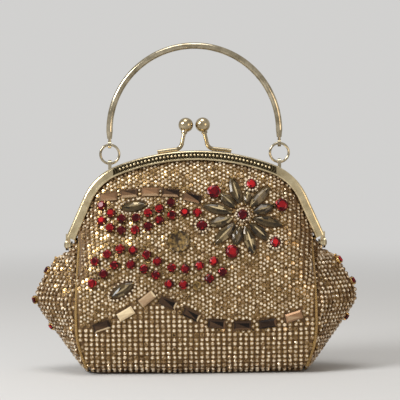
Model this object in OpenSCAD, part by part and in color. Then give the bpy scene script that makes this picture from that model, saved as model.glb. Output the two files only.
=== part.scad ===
// Jewelled evening bag: a crystal-mesh pouch hung in a hinged kiss-lock frame, with a bangle handle on two rings.
// Sizes are in millimetres. X runs across the bag, -Y is its front, +Z is up, and the base stands on Z = 0.

/* [Pouch] */
// Width of the flat base, end to end
base_w = 118; // [110:1:124]
// Depth of the flat base, front to back
base_d = 31; // [24:1:36]
// Width of the front panel at its widest, seam to seam
panel_w = 131; // [126:1:134]
// Width of the front panel where it enters the frame
panel_top_w = 125; // [120:1:127]
// Depth of the pouch at its fullest, front to back
belly_d = 54; // [46:1:60]
// Height of the fullest line above the base
belly_z = 37; // [30:1:46]
// How far the side seams lie behind the middle of the panel
seam_set_back = 3; // [1:0.5:5]
// Radius of the turned hem along the base
hem_r = 5.5; // [4:0.5:7]
// Width across the folds of the two gussets
gusset_w = 177; // [168:1:184]
// Height of the gusset folds' widest point
gusset_z = 41; // [36:1:46]
// Width across the gussets at their upper ends
gusset_top_w = 154; // [150:1:158]
// Gap left between each gusset's upper end and its hinge pin
gusset_drop = 7; // [6:0.5:10]
// Rounding of the gusset folds at their widest point
gusset_round = 6; // [3:0.5:10]

/* [Cloth] */
// Thickness of the crystal mesh and its backing
mesh_t = 1.6; // [1:0.1:2]
// Spacing of the crystal columns
crystal_pitch = 3; // [2.6:0.05:3.4]
// Height of a crystal column above the mesh
crystal_h = 0.6; // [0.3:0.1:0.9]
// Thickness of the lining
lining_t = 1; // [0.6:0.1:1.4]
// Diameter of the piping along the seams
piping_d = 2; // [1.4:0.1:2.4]
// Thickness of the base panel
base_t = 2.2; // [1.8:0.1:2.6]
// Thickness of the stiffening board over the base
board_t = 1.5; // [1:0.1:2]

/* [Frame] */
// Distance between the two hinge pins
hinge_w = 141; // [138:1:144]
// Height of the hinge pins above the base
hinge_z = 70; // [67:1:73]
// Height of the frame's crown above the base
frame_z = 121.6; // [118:0.2:126]
// Radius of the long arch over the mouth
crown_r = 121; // [112:1:130]
// Radius of the frame's two shoulders
corner_r = 32; // [28:1:36]
// Lean of the frame's legs from upright, in degrees
leg_lean = 24; // [20:1:28]
// Height of the folded channel that grips the cloth
channel_h = 5.2; // [4.6:0.1:6]
// Depth of each half's channel, front to back
channel_d = 6.8; // [6.2:0.1:8]
// Thickness of the folded sheet
channel_t = 0.9; // [0.7:0.1:1.1]
// Diameter of the stamped beads along the crown
bead_d = 1.5; // [1:0.1:1.8]
// Spacing of the stamped beads
bead_pitch = 2.1; // [1.9:0.1:3]
// Radius of the hinge ears
ear_r = 3; // [2.6:0.1:3.4]
// Thickness of a hinge ear
ear_t = 1.2; // [0.9:0.1:1.5]
// Diameter of the hinge pins
pin_d = 2.2; // [1.8:0.1:2.6]

/* [Clasp] */
// Diameter of a clasp ball
ball_d = 8.2; // [7:0.1:9]
// Gap between the two balls
ball_gap = 1.1; // [0.6:0.1:2]
// Height of the balls' centres above the crown
ball_rise = 14.2; // [12:0.2:17]
// Diameter of a clasp arm
arm_d = 2.2; // [1.8:0.1:2.6]
// Length of the arm's foot along the crown
foot_len = 10; // [7:0.5:14]
// Radius of the bend between foot and stem
bend_r = 4; // [3:0.25:5]
// Distance of the bend from the middle of the frame
foot_x = 10.5; // [9:0.25:13]
// Lean of a stem towards the middle, in degrees
stem_lean = 14; // [8:1:18]

/* [Handle] */
// Distance between the handle's two ends
handle_w = 94; // [88:1:100]
// Diameter of the handle's tube
tube_d = 3.6; // [3:0.1:4.4]
// Length of the tube's tapered ends
taper_len = 4; // [3:0.25:6]
// Diameter of the tube at its tapered ends
taper_d = 2.7; // [2.4:0.1:3]
// Width of the tube's rolled seam
tube_seam_w = 0.5; // [0.3:0.1:0.8]
// Diameter of a ring at the middle of its wire
ring_d = 10.4; // [9:0.2:12]
// Diameter of the rings' wire
wire_d = 1.4; // [1.1:0.1:1.6]
// Height of a lug's hole above the frame
lug_rise = 2.8; // [2.6:0.1:3.6]
// Thickness of the metal round a lug's or an eye's hole
loop_t = 0.85; // [0.6:0.05:1.1]
// Width of a lug or an eye along its hole
loop_w = 1.8; // [1.4:0.1:2.2]
// Length of an eye's neck between its loop and the tube
neck_len = 1.4; // [1:0.1:3]

/* [Stones] */
// Diameter of the small red stones
ruby_d = 4.2; // [3.4:0.1:4.8]
// Diameter of the large red stones
big_ruby_d = 6.2; // [5:0.1:7]
// Diameter of the red stones with a crystal halo
halo_ruby_d = 4.6; // [4:0.1:5]
// Length of a bar stone
bar_l = 9.2; // [8:0.1:10]
// Width of a bar stone
bar_w = 4.6; // [4:0.1:5.2]
// Length of a petal stone
petal_l = 12; // [10:0.5:13]
// Length of the petal that stops short of the red stone above the flower
short_petal_l = 7.5; // [6:0.5:8]
// Width of a petal stone
petal_w = 5; // [4:0.1:5.4]
// Distance of the petals' inner tips from the flower's middle
petal_in = 5.2; // [5:0.1:6]
// Number of petals
petals = 12; // [10:1:12]
// Length of a leaf stone
leaf_l = 15; // [12:0.5:17]
// Width of a leaf stone
leaf_w = 6; // [5:0.1:7]
// Diameter of the empty round setting
saucer_d = 11; // [9:0.5:12]
// Height of a stone above its setting
stone_h = 1.7; // [1.2:0.1:2.2]
// Height of a setting
cup_h = 1; // [0.7:0.1:1.4]

/* [Hidden] */
$fn = 48;

// Clearances
cloth_gap = 0.3;
lining_gap = 0.7;
metal_gap = 0.1;
pin_gap = 0.06;
loop_gap = 0.42;
ear_gap = 0.3;
lip_gap = 2;
edge_gap = 0.6;

// Shades
gold = "#b9a065";
champagne = "#b59a6a";
satin = "#6b5a45";
red = "#b3122b";
smoke = "#8f8a78";

// Stones of the front panel, as [x, z] on the panel
upper_wave = [
    [-50.7, 91.6], [-45.7, 87.6], [-40, 84.6], [-32, 85], [-25.5, 87.8], [-19.4, 90], [-13, 93],
    [-50.7, 83.6], [-46, 79.8], [-40, 78.4], [-32.6, 78.6], [-25.5, 80.6], [-19.4, 83.8], [-12.6, 86.4],
    [-5.6, 87.8], [1.2, 87.6]
];
lower_wave = [
    [-54.3, 61.8], [-47.6, 65.8], [-40.8, 68.6], [-33.8, 67.8], [-26.4, 65.6], [-20.6, 62], [-12.9, 58.6],
    [-5.6, 58], [2.1, 59.6], [9.8, 61.8],
    [-55.9, 50.4], [-49.8, 55.4], [-43.9, 60], [-35, 60.4], [-28, 58], [-21.6, 54.8], [-14.4, 50],
    [-6.8, 49.6], [7.4, 52.6], [14.4, 56.2]
];
big_rubies = [[10.3, 98.7], [47, 90.9], [19.8, 66.8]];
halo_rubies = [[25.8, 86.2], [30.9, 102.4], [3.6, 80.8], [43.2, 71.3]];
flower = halo_rubies[0];
over_flower = halo_rubies[1] - flower;
// Bar stones, as [x, z, turn in degrees]
bars = [
    [-47, 96.4, 8], [-36, 98.3, 5], [-24.2, 99, 0], [-13.2, 98.5, -4], [-1.4, 95.8, -15],
    [-51.3, 27.5, 18], [-38.1, 34.2, 30], [-26.4, 42.2, 38], [-15.1, 40, -22], [-2.5, 33.6, -27],
    [11.1, 28.4, -5], [25.1, 27.4, 0], [38.7, 28.1, 8], [53, 31.8, 17]
];
// Leaf stones, as [x, z, turn in degrees]
leaves = [[-33.2, 91.5, 9], [-40, 46.8, 32]];
// Settings whose stones are lost, as [x, z, diameter]
lost_stones = [[-8.9, 72.7, saucer_d], [0.6, 49, ruby_d]];
// Red stones on the gusset folds, as shares of the fold's height
fold_stones_left = [0.4, 0.63, 0.88];
fold_stones_right = [0.46, 0.76, 0.95];

// Frame outline: a crown arc, two shoulder arcs and two straight leaning legs
leg_nx = cos(leg_lean);
leg_nz = sin(leg_lean);
hinge_x = hinge_w / 2;
leg_reach = hinge_x * leg_nx + hinge_z * leg_nz + channel_h / 2;
crown_cz = frame_z - crown_r;
crown_half = 90 - leg_lean - acos((leg_reach - corner_r - crown_cz * leg_nz) / (crown_r - corner_r));
corner_cx = (crown_r - corner_r) * sin(crown_half);
corner_cz = crown_cz + (crown_r - corner_r) * cos(crown_half);
leg_top = [corner_cx + corner_r * leg_nx, 0, corner_cz + corner_r * leg_nz];
leg_foot = [hinge_x + leg_nx * channel_h / 2, 0, hinge_z + leg_nz * channel_h / 2];
leg_stop = ear_r + 1.3;
leg_len = norm(leg_foot - leg_top) - leg_stop;
half_gap = 0.15;

// Height of the frame's outline at x, set in from its outer edge by inset
function arch_z(x, inset) =
    abs(x) <= (crown_r - inset) * sin(crown_half)
        ? crown_cz + sqrt(pow(crown_r - inset, 2) - x * x)
        : abs(x) <= corner_cx + (corner_r - inset) * leg_nx
            ? corner_cz + sqrt(pow(corner_r - inset, 2) - pow(abs(x) - corner_cx, 2))
            : (leg_reach - inset - abs(x) * leg_nx) / leg_nz;

// Distance of a point inside the frame's outer edge
function arch_inset(x, z) =
    abs(x) <= (z - crown_cz) * tan(crown_half)
        ? crown_r - norm([x, z - crown_cz])
        : z - corner_cz >= (abs(x) - corner_cx) * tan(leg_lean)
            ? corner_r - norm([abs(x) - corner_cx, z - corner_cz])
            : leg_reach - abs(x) * leg_nx - z * leg_nz;

// Front panel: x runs across it by u from -1 to 1, and z runs up it by t from 0 to 1
panel_z0 = crystal_h + 0.2;
edge_inset = channel_t + edge_gap;
lip_room = 0.5;
edge_slope = 1.5;
mouth_y = channel_d / 2 - 0.2;
belly_t = belly_z / (frame_z - edge_inset);
belly_swell = belly_d / 2 - mouth_y;
base_full = (base_d / 2 + hem_r - mouth_y) / belly_swell;

function half_w(t) =
    t < belly_t
        ? panel_w / 2 - (panel_w - base_w) / 2 * pow(1 - t / belly_t, 2)
        : panel_w / 2 - (panel_w - panel_top_w) / 2 * pow((t - belly_t) / (1 - belly_t), 2);
function fullness(t) =
    t < belly_t
        ? 1 - (1 - base_full) * pow(1 - t / belly_t, 2)
        : cos(90 * (t - belly_t) / (1 - belly_t));
function hem(z) = hem_r * (1 - sqrt(1 - pow(max(0, min(1, (panel_z0 + hem_r - z) / hem_r)), 2)));
function depth_at(x, t, z) =
    mouth_y - hem(z) + min(
        (belly_swell - seam_set_back * pow(x / half_w(t), 2)) * fullness(t),
        edge_slope * max(0, arch_inset(x, z) - channel_h - lip_room)
    );
function height_at(x, t) = panel_z0 + t * (arch_z(x, edge_inset) - panel_z0);
function panel_point(u, t) =
    let (x = u * half_w(t), z = height_at(x, t)) [x, -depth_at(x, t, z), z];
function share_at(x, z) = (z - panel_z0) / (arch_z(x, edge_inset) - panel_z0);
function face_point(x, z) = [x, -depth_at(x, share_at(x, z), z), z];

// Right gusset: y runs across it by s from the front seam at -1 to the back seam at 1
gusset_top_z = hinge_z - gusset_drop;
gusset_top_t = 0.86;
gusset_apex = gusset_w / 2 + gusset_round / 2;

function fold_x(z) =
    let (
        low = base_w / 2 + 1 + (gusset_apex - base_w / 2 - 1) * z / gusset_z,
        high = gusset_apex - (gusset_apex - gusset_top_w / 2) * (z - gusset_z) / (gusset_top_z - gusset_z)
    ) (low + high - sqrt(pow(low - high, 2) + pow(gusset_round, 2))) / 2;
function seam_point(t) = panel_point(1, t);
function fold_point(t) = let (z = panel_z0 + t * (gusset_top_z - panel_z0)) [fold_x(z), 0, z];
function gusset_point(s, t) =
    let (
        a = seam_point(t * gusset_top_t),
        b = fold_point(t),
        out = 1 - pow(abs(s), 1.5),
        up = 1 - pow(abs(s), 2.5)
    ) [a.x + (b.x - a.x) * out, -a.y * s, a.z + (b.z - a.z) * up];
function gusset_reach(t) = norm(fold_point(t) - seam_point(t * gusset_top_t));

// Outward unit normals by small steps
step = 0.004;
function unit(v) = v / norm(v);
function panel_normal(u, t) =
    let (
        across = panel_point(u + step, t) - panel_point(u - step, t),
        up = panel_point(u, min(1, t + step)) - panel_point(u, max(0, t - step))
    ) unit(cross(across, up));
function gusset_normal(s, t) =
    let (
        across = gusset_point(s + step, t) - gusset_point(s - step, t),
        up = gusset_point(s, min(1, t + step)) - gusset_point(s, max(0, t - step))
    ) unit(cross(across, up));
function face_normal(x, z) =
    let (
        across = face_point(x + step, z) - face_point(x - step, z),
        up = face_point(x, z + step) - face_point(x, z - step)
    ) unit(cross(across, up));

// Faces of a closed sheet: an outer grid of rows by columns, and an inner grid with every few columns merged
function sheet_faces(rows, cols, merge) =
    let (
        inner_cols = (cols - 1) / merge + 1,
        base = rows * cols,
        half = floor(merge / 2)
    ) [
        for (r = [0 : rows - 2], c = [0 : cols - 2])
            let (a = r * cols + c, b = a + 1, d = a + cols, e = d + 1)
            each [[a, d, e], [a, e, b]],
        for (r = [0 : rows - 2], c = [0 : inner_cols - 2])
            let (a = base + r * inner_cols + c, b = a + 1, d = a + inner_cols, e = d + 1)
            each [[a, e, d], [a, b, e]],
        for (j = [0 : inner_cols - 2])
            let (
                low = j * merge, p = base + j,
                high = (rows - 1) * cols + j * merge, q = base + (rows - 1) * inner_cols + j
            )
            each concat(
                [for (i = [0 : merge - 1]) [low + i, low + i + 1, i < half ? p : p + 1]],
                [[low + half, p + 1, p]],
                [for (i = [0 : merge - 1]) [high + i + 1, high + i, i < half ? q : q + 1]],
                [[high + half, q, q + 1]]
            ),
        for (r = [0 : rows - 2])
            let (
                a = r * cols, b = a + cols, p = base + r * inner_cols, q = p + inner_cols,
                f = b - 1, g = f + cols, v = q - 1, w = v + inner_cols
            )
            each [[b, a, p], [b, p, q], [f, g, w], [f, w, v]]
    ];

// A closed sheet from its outer points, given row by row, and its inner points
module sheet(outer, inner, merge) {
    polyhedron(
        points = concat([for (row = outer) each row], [for (row = inner) each row]),
        faces = sheet_faces(len(outer), len(outer[0]), merge),
        convexity = 6
    );
}

// A round tube of eight sides along a list of points
module tube(path, r) {
    sides = 8;
    last = len(path) - 1;
    rings = [
        for (i = [0 : last])
            let (
                ahead = unit(path[min(last, i + 1)] - path[max(0, i - 1)]),
                side = unit(cross(ahead, [1, 0, 0])),
                out = cross(side, ahead)
            )
            for (k = [0 : sides - 1])
                path[i] + r * (cos(360 * k / sides) * out + sin(360 * k / sides) * side)
    ];
    polyhedron(
        points = rings,
        faces = concat(
            [[for (k = [0 : sides - 1]) k]],
            [
                for (i = [0 : last - 1], k = [0 : sides - 1])
                    let (a = i * sides + k, b = i * sides + (k + 1) % sides)
                    each [[a, a + sides, b + sides], [a, b + sides, b]]
            ],
            [[for (k = [sides - 1 : -1 : 0]) last * sides + k]]
        )
    );
}

// Pouch panels: rows crowd together towards the hem and the frame, and every second column stands up as a column of crystals
panel_rows = 12;
panel_columns = 2 * round(panel_w / crystal_pitch / 2);
gusset_rows = 10;
gusset_columns = 2 * round(1.9 * norm(fold_point(gusset_z / gusset_top_z)
    - seam_point(gusset_z / gusset_top_z * gusset_top_t)) / crystal_pitch / 2);
merge = 4;
seam_room = piping_d / 2 + cloth_gap;
lining_out = mesh_t + lining_gap;

function lip_share(u, room) = let (x = u * half_w(1)) share_at(x, arch_z(x, channel_h + room));
function crowd(k, rows) = (1 - cos(180 * k / rows)) / 2;
function row_share(k, u) = k == panel_rows ? 1 : crowd(k, panel_rows - 1) * lip_share(u, lip_room);
function ridge(i) = i % 2 == 0 ? 0 : crystal_h;
function panel_u(share, t) = share * (1 - seam_room / half_w(t));
function gusset_s(share, t) = share * (1 - seam_room / gusset_reach(t));

module mesh_panel() {
    outer_n = 2 * panel_columns;
    function at(i, k, d) =
        let (v = 2 * i / outer_n - 1, t = row_share(k, v), u = panel_u(v, t))
        panel_point(u, t) + d * panel_normal(u, t);
    sheet(
        [for (k = [0 : panel_rows]) [for (i = [0 : outer_n]) at(i, k, ridge(i))]],
        [for (k = [0 : panel_rows]) [for (i = [0 : merge : outer_n]) at(i, k, -mesh_t)]],
        merge
    );
}

module mesh_gusset() {
    outer_n = 2 * gusset_columns;
    shares = [for (k = [0 : gusset_rows]) k / gusset_rows];
    sheet(
        [for (t = shares) [for (i = [0 : outer_n])
            let (s = gusset_s(2 * i / outer_n - 1, t)) gusset_point(s, t) + ridge(i) * gusset_normal(s, t)]],
        [for (t = shares) [for (i = [0 : merge : outer_n])
            let (s = gusset_s(2 * i / outer_n - 1, t)) gusset_point(s, t) - mesh_t * gusset_normal(s, t)]],
        merge
    );
}

module front_panel() { color(champagne) mesh_panel(); }
module back_panel() { color(champagne) mirror([0, 1, 0]) mesh_panel(); }
module gusset_right() { color(champagne) mesh_gusset(); }
module gusset_left() { color(champagne) mirror([1, 0, 0]) mesh_gusset(); }

// Outline of the base, set in from the panels' hems
module base_outline(set_in) {
    steps = 12;
    reach = base_w / 2 - max(set_in, mesh_t);
    front = [for (i = [0 : steps])
        let (x = reach * (2 * i / steps - 1)) [x, set_in - depth_at(x, 0, panel_z0)]];
    polygon(concat(front, [for (i = [steps : -1 : 0]) [front[i].x, -front[i].y]]));
}

module base_panel() { color(champagne) linear_extrude(base_t) base_outline(cloth_gap); }
module base_board() {
    color(satin) translate([0, 0, base_t + cloth_gap]) linear_extrude(board_t) base_outline(2 * mesh_t);
}

// Lining: plain cloth behind each panel, hemmed just under the frame
lining_low = 0.06;
lining_columns = 12;
lining_rows = 8;

module lining_panel() {
    function at(i, k, d) =
        let (
            u = 0.96 * (2 * i / lining_columns - 1),
            t = lining_low + (lip_share(u, lip_gap) - lining_low) * crowd(k, lining_rows)
        ) panel_point(u, t) - d * panel_normal(u, t);
    sheet(
        [for (k = [0 : lining_rows]) [for (i = [0 : lining_columns]) at(i, k, lining_out)]],
        [for (k = [0 : lining_rows]) [for (i = [0 : lining_columns]) at(i, k, lining_out + lining_t)]],
        1
    );
}

module lining_gusset() {
    shares = [for (k = [0 : lining_rows]) 0.1 + 0.75 * k / lining_rows];
    function at(i, t, d) =
        let (s = 0.86 * (2 * i / lining_columns - 1)) gusset_point(s, t) - d * gusset_normal(s, t);
    sheet(
        [for (t = shares) [for (i = [0 : lining_columns]) at(i, t, lining_out)]],
        [for (t = shares) [for (i = [0 : lining_columns]) at(i, t, lining_out + lining_t)]],
        1
    );
}

module lining_front() { color(satin) lining_panel(); }
module lining_back() { color(satin) mirror([0, 1, 0]) lining_panel(); }
module lining_gusset_right() { color(satin) lining_gusset(); }
module lining_gusset_left() { color(satin) mirror([1, 0, 0]) lining_gusset(); }

// Piping: a gold cord sewn along each seam from the hem to the frame's lip
module piping() {
    steps = 14;
    color(gold) tube([for (k = [0 : steps]) seam_point(0.03 + (gusset_top_t - 0.03) * k / steps)], piping_d / 2);
}
module piping_front_right() { piping(); }
module piping_front_left() { mirror([1, 0, 0]) piping(); }
module piping_back_right() { mirror([0, 1, 0]) piping(); }
module piping_back_left() { mirror([1, 0, 0]) mirror([0, 1, 0]) piping(); }

// Section of the folded channel, with its outer edge at x = 0 and its depth up y: a web, two lips,
// a rounded outer edge and a rolled front rim. It is let out all round by grow
edge_r = 1.6;
rim_r = 0.75;
rim_y = channel_d - 0.4;
rim_x = rim_r - channel_h;

function arc(x, y, r, from, to, n) =
    [for (i = [0 : n]) let (a = from + (to - from) * i / n) [x + r * cos(a), y + r * sin(a)]];
function channel_section(grow) = concat(
    [[-channel_h - grow, half_gap - grow], [grow - 0.3, half_gap - grow], [grow, half_gap + 0.3]],
    arc(-edge_r, channel_d - edge_r, edge_r + grow, 0, 90, 5),
    arc(rim_x, rim_y, rim_r + grow, 33, 213, 6),
    [
        [-channel_h + 0.3, channel_d - channel_t - grow], [-channel_t - grow, channel_d - channel_t - grow],
        [-channel_t - grow, half_gap + channel_t + grow], [-channel_h - grow, half_gap + channel_t + grow]
    ]
);

// Sweeps a section along the front half of the frame. Neighbouring lengths lap by lap,
// and the crown and the legs are let out by weld, so that their surfaces never coincide
lap = 0.3;
weld = 0.03;
module along_crown() {
    extra = lap / crown_r * 180 / PI;
    translate([0, 0, crown_cz]) rotate([90, 0, 0]) rotate([0, 0, 90 - crown_half - extra])
        rotate_extrude(angle = 2 * (crown_half + extra)) translate([crown_r, 0]) children();
}
module along_shoulder() {
    translate([corner_cx, 0, corner_cz]) rotate([90, 0, 0]) rotate([0, 0, leg_lean])
        rotate_extrude(angle = 90 - crown_half - leg_lean) translate([corner_r, 0]) children();
}
module along_leg(from, to) {
    multmatrix([
        [leg_nx, 0, leg_nz, leg_top.x + leg_nz * from],
        [0, -1, 0, 0],
        [leg_nz, 0, -leg_nx, leg_top.z - leg_nx * from]
    ]) linear_extrude(to - from) children();
}

// Stamped beads along the crown and shoulders, between the two lugs
module crown_beads() {
    bead_y = -channel_d;
    bead_ring = crown_r - channel_h / 2 + 0.3;
    bead_turn = bead_pitch / bead_ring * 180 / PI;
    bead_n = floor(crown_half / bead_turn);
    for (i = [-bead_n : bead_n])
        translate([bead_ring * sin(i * bead_turn), bead_y, crown_cz + bead_ring * cos(i * bead_turn)])
            sphere(d = bead_d);
}

// Plate that closes the leg's end and carries the hinge ear
module ear() {
    neck_z = hinge_z + leg_stop * leg_nx + 2;
    rotate([90, 0, 90]) linear_extrude(ear_t) {
        translate([0, hinge_z]) circle(ear_r);
        polygon([
            [-half_gap - 0.1, neck_z], [1 - channel_d, neck_z], [-0.8 * ear_r, hinge_z], [-half_gap - 0.1, hinge_z]
        ]);
    }
}

// One half of the frame with its two hinge ears, the inner faces of which lie at x = ear_x
module half_frame(ear_x) {
    difference() {
        union() {
            along_crown() polygon(channel_section(weld));
            crown_beads();
            for (side = [0, 1]) mirror([side, 0, 0]) {
                along_shoulder() polygon(channel_section(0));
                along_leg(-lap, leg_len) polygon(channel_section(weld));
                along_leg(leg_len - 3, leg_len - 0.1) translate([-channel_h + 0.2, half_gap + channel_t / 2])
                    square([channel_h - 0.2 - channel_t / 2, channel_d - half_gap - channel_t]);
                translate([ear_x, 0, 0]) ear();
            }
        }
        for (side = [-1, 1])
            translate([side * (ear_x + ear_t / 2), 0, hinge_z]) rotate([0, 90, 0])
                cylinder(d = pin_d + 2 * pin_gap, h = ear_t + 2, center = true);
    }
}

front_ear_x = hinge_x - ear_t - ear_gap / 2;
back_ear_x = hinge_x + ear_gap / 2;

module frame_front() { color(gold) half_frame(front_ear_x); }
module frame_back() { color(gold) mirror([0, 1, 0]) half_frame(back_ear_x); }

// Hinge pin with a flat inner head and a domed outer head
head_t = 0.8;
module hinge_pin_right() {
    inner = front_ear_x - ear_gap;
    outer = back_ear_x + ear_t + metal_gap;
    color(gold) translate([inner - head_t, 0, hinge_z]) rotate([0, 90, 0]) {
        cylinder(d = 2 * pin_d - 0.4, h = head_t);
        cylinder(d = pin_d, h = outer - inner + 2 * head_t - 0.2);
        translate([0, 0, outer - inner + head_t]) cylinder(d1 = 2 * pin_d, d2 = pin_d, h = head_t);
    }
}
module hinge_pin_left() { mirror([1, 0, 0]) hinge_pin_right(); }

// Kiss-lock clasp: the front half's arm stands left of the middle and the back half's arm right of it
ball_pos = [-(ball_d + ball_gap) / 2, 0, frame_z + ball_rise];
foot_ring = crown_r + arm_d / 2 + metal_gap;
foot_turn = asin(foot_x / foot_ring);
foot_span = foot_len / foot_ring * 180 / PI;
bend_turn = 90 - stem_lean - foot_turn;
foot_y = -channel_d / 2;
collar_d = arm_d + 1.2;
foot_start = [-foot_ring * sin(foot_turn), foot_y, crown_cz + foot_ring * cos(foot_turn)];
bend_centre = foot_start + bend_r * [-sin(foot_turn), 0, cos(foot_turn)];
bend_end = bend_centre + bend_r * [sin(foot_turn + bend_turn), 0, -cos(foot_turn + bend_turn)];

module rod(from, to, d) {
    along = to - from;
    translate(from) rotate([0, acos(along.z / norm(along)), atan2(along.y, along.x)]) cylinder(d = d, h = norm(along));
}

module clasp_arm() {
    extra = lap / bend_r * 180 / PI;
    translate([0, foot_y, crown_cz]) rotate([90, 0, 0]) rotate([0, 0, 90 + foot_turn])
        rotate_extrude(angle = foot_span) translate([foot_ring, 0]) circle(d = arm_d);
    translate(bend_centre) rotate([90, 0, 0]) rotate([0, 0, 270 + foot_turn - extra])
        rotate_extrude(angle = bend_turn + extra) translate([bend_r, 0]) circle(d = arm_d + 2 * weld);
    translate(bend_end) sphere(d = arm_d + 0.25);
    rod(bend_end, ball_pos, arm_d);
}

// Ball with a collar round the stem, drilled for the stem's end
module clasp_ball() {
    stem = unit(ball_pos - bend_end);
    difference() {
        union() {
            translate(ball_pos) sphere(d = ball_d);
            rod(ball_pos - (ball_d / 2 + 0.8) * stem, ball_pos, collar_d);
        }
        rod(bend_end, ball_pos + pin_gap * stem, arm_d + 2 * pin_gap);
    }
}

module clasp_arm_front() { color(gold) clasp_arm(); }
module clasp_ball_front() { color(gold) clasp_ball(); }
module clasp_arm_back() { color(gold) rotate([0, 0, 180]) clasp_arm(); }
module clasp_ball_back() { color(gold) rotate([0, 0, 180]) clasp_ball(); }

// Handle: a rolled tube bent to a half circle, hung by its eyes in two rings that hang in lugs on the back half
lug_x = handle_w / 2;
lug_y = channel_d / 2;
lug_z = arch_z(lug_x, 0) + lug_rise;
hole_r = wire_d / 2 + loop_gap;
loop_r = hole_r + loop_t;
eye_z = lug_z + ring_d;
tube_end_z = eye_z + loop_r + neck_len;
handle_z = tube_end_z + taper_len;
neck_d = 1.7;
socket_len = 3;

module loop() {
    rotate([0, 90, 0]) cylinder(r = loop_r, h = loop_w, center = true);
}
module loop_hole() {
    rotate([0, 90, 0]) cylinder(r = hole_r, h = loop_w + 2, center = true);
}

// Room that the frame takes up under a lug
module crown_envelope() {
    translate([0, 0, crown_cz]) rotate([90, 0, 0])
        cylinder(r = crown_r + metal_gap, h = 4 * channel_d, center = true);
}
module shoulder_envelope() {
    translate([corner_cx, 0, corner_cz]) rotate([90, 0, 0])
        cylinder(r = corner_r + metal_gap, h = 4 * channel_d, center = true);
}

module ring_lug_right() {
    post_z = lug_z - arch_z(lug_x + loop_w, 0) + 1;
    color(gold) difference() {
        translate([lug_x, lug_y, lug_z]) difference() {
            union() {
                loop();
                translate([-loop_w / 2, -loop_r, -post_z]) cube([loop_w, 2 * loop_r, post_z]);
            }
            loop_hole();
        }
        if (lug_x < crown_r * sin(crown_half)) crown_envelope();
        else shoulder_envelope();
    }
}
module ring_lug_left() { mirror([1, 0, 0]) ring_lug_right(); }

module ring_right() {
    color(gold) translate([lug_x, lug_y, lug_z + ring_d / 2]) rotate([90, 0, 0])
        rotate_extrude() translate([ring_d / 2, 0]) circle(d = wire_d);
}
module ring_left() { mirror([1, 0, 0]) ring_right(); }

module handle_eye_right() {
    color(gold) translate([lug_x, lug_y, eye_z]) difference() {
        union() {
            loop();
            translate([0, 0, loop_r - 0.5]) cylinder(d = neck_d, h = neck_len + socket_len + 0.3);
        }
        loop_hole();
    }
}
module handle_eye_left() { mirror([1, 0, 0]) handle_eye_right(); }

module handle_tube() {
    tube_r = tube_d / 2;
    color(gold) translate([0, lug_y, handle_z]) difference() {
        union() {
            rotate([90, 0, 0]) rotate_extrude(angle = 180) translate([lug_x, 0]) circle(tube_r);
            for (side = [-1, 1]) translate([side * lug_x, 0, -taper_len])
                cylinder(d1 = taper_d, d2 = tube_d, h = taper_len);
        }
        rotate([90, 0, 0]) rotate_extrude(angle = 180)
            translate([lug_x - tube_r - 1, -tube_seam_w / 2]) square([1.4, tube_seam_w]);
        for (side = [-1, 1]) translate([side * lug_x, 0, -taper_len - 1])
            cylinder(d = neck_d + 2 * pin_gap, h = socket_len + 1);
    }
}

// Places its children on the front panel, with their own z along the panel's normal
stone_seat = crystal_h + 0.2;
module on_panel(x, z, turn = 0) {
    out = face_normal(x, z);
    across = unit(cross([0, 0, 1], out));
    up = cross(out, across);
    p = face_point(x, z) + stone_seat * out;
    multmatrix([
        [across.x, up.x, out.x, p.x],
        [across.y, up.y, out.y, p.y],
        [across.z, up.z, out.z, p.z]
    ]) rotate([0, 0, turn]) children();
}

// Places its children on the right gusset's fold
module on_fold(t) {
    out = gusset_normal(0, t);
    up = unit(cross(out, [0, 1, 0]));
    p = gusset_point(0, t) + stone_seat * out;
    multmatrix([
        [0, up.x, out.x, p.x],
        [1, up.y, out.y, p.y],
        [0, up.z, out.z, p.z]
    ]) children();
}

// Round stone: a cut crown over a girdle, seated in its cup
module round_stone(d) {
    translate([0, 0, cup_h + metal_gap]) rotate_extrude()
        polygon([[0, 0], [0.4 * d, 0], [d / 2, 0.35 * stone_h], [0.3 * d, stone_h], [0, stone_h]]);
}

module cup(d) { cylinder(d1 = 0.8 * d, d2 = d + 0.5, h = cup_h); }

// Dished cup of a lost stone
module empty_cup(d) {
    rotate_extrude() polygon([
        [0, 0], [0.45 * d, 0], [d / 2 + 0.3, cup_h + 0.3], [d / 2 - 0.3, cup_h + 0.3], [0.36 * d, 0.5], [0, 0.4]
    ]);
}

// Pointed oval stone between two arcs, drawn in towards its top
module pointed_stone(l, w) {
    r = (l * l + w * w) / (4 * w);
    rise = 1.1 * stone_h;
    intersection_for (side = [-1, 1])
        translate([0, side * (r - w / 2), 0]) cylinder(r1 = r, r2 = r - 0.34 * w, h = rise);
}

// Bar stone with bevelled edges
module bar_stone() {
    bevel = 0.9;
    low = [bar_l / 2, bar_w / 2];
    top = low - [bevel, bevel];
    girdle = 0.6 * stone_h;
    corners = [[-1, -1], [1, -1], [1, 1], [-1, 1]];
    polyhedron(
        points = concat(
            [for (c = corners) [c.x * low.x, c.y * low.y, 0]],
            [for (c = corners) [c.x * low.x, c.y * low.y, girdle]],
            [for (c = corners) [c.x * top.x, c.y * top.y, stone_h]]
        ),
        faces = concat(
            [[0, 1, 2, 3], [11, 10, 9, 8]],
            [for (ring = [0, 4], k = [0 : 3])
                [ring + k, ring + k + 4, ring + (k + 1) % 4 + 4, ring + (k + 1) % 4]]
        )
    );
}

module at_each(places) { for (p = places) on_panel(p.x, p.y) children(); }
module at_folds() {
    for (t = fold_stones_right) on_fold(t) children();
    for (t = fold_stones_left) mirror([1, 0, 0]) on_fold(t) children();
}

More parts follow.
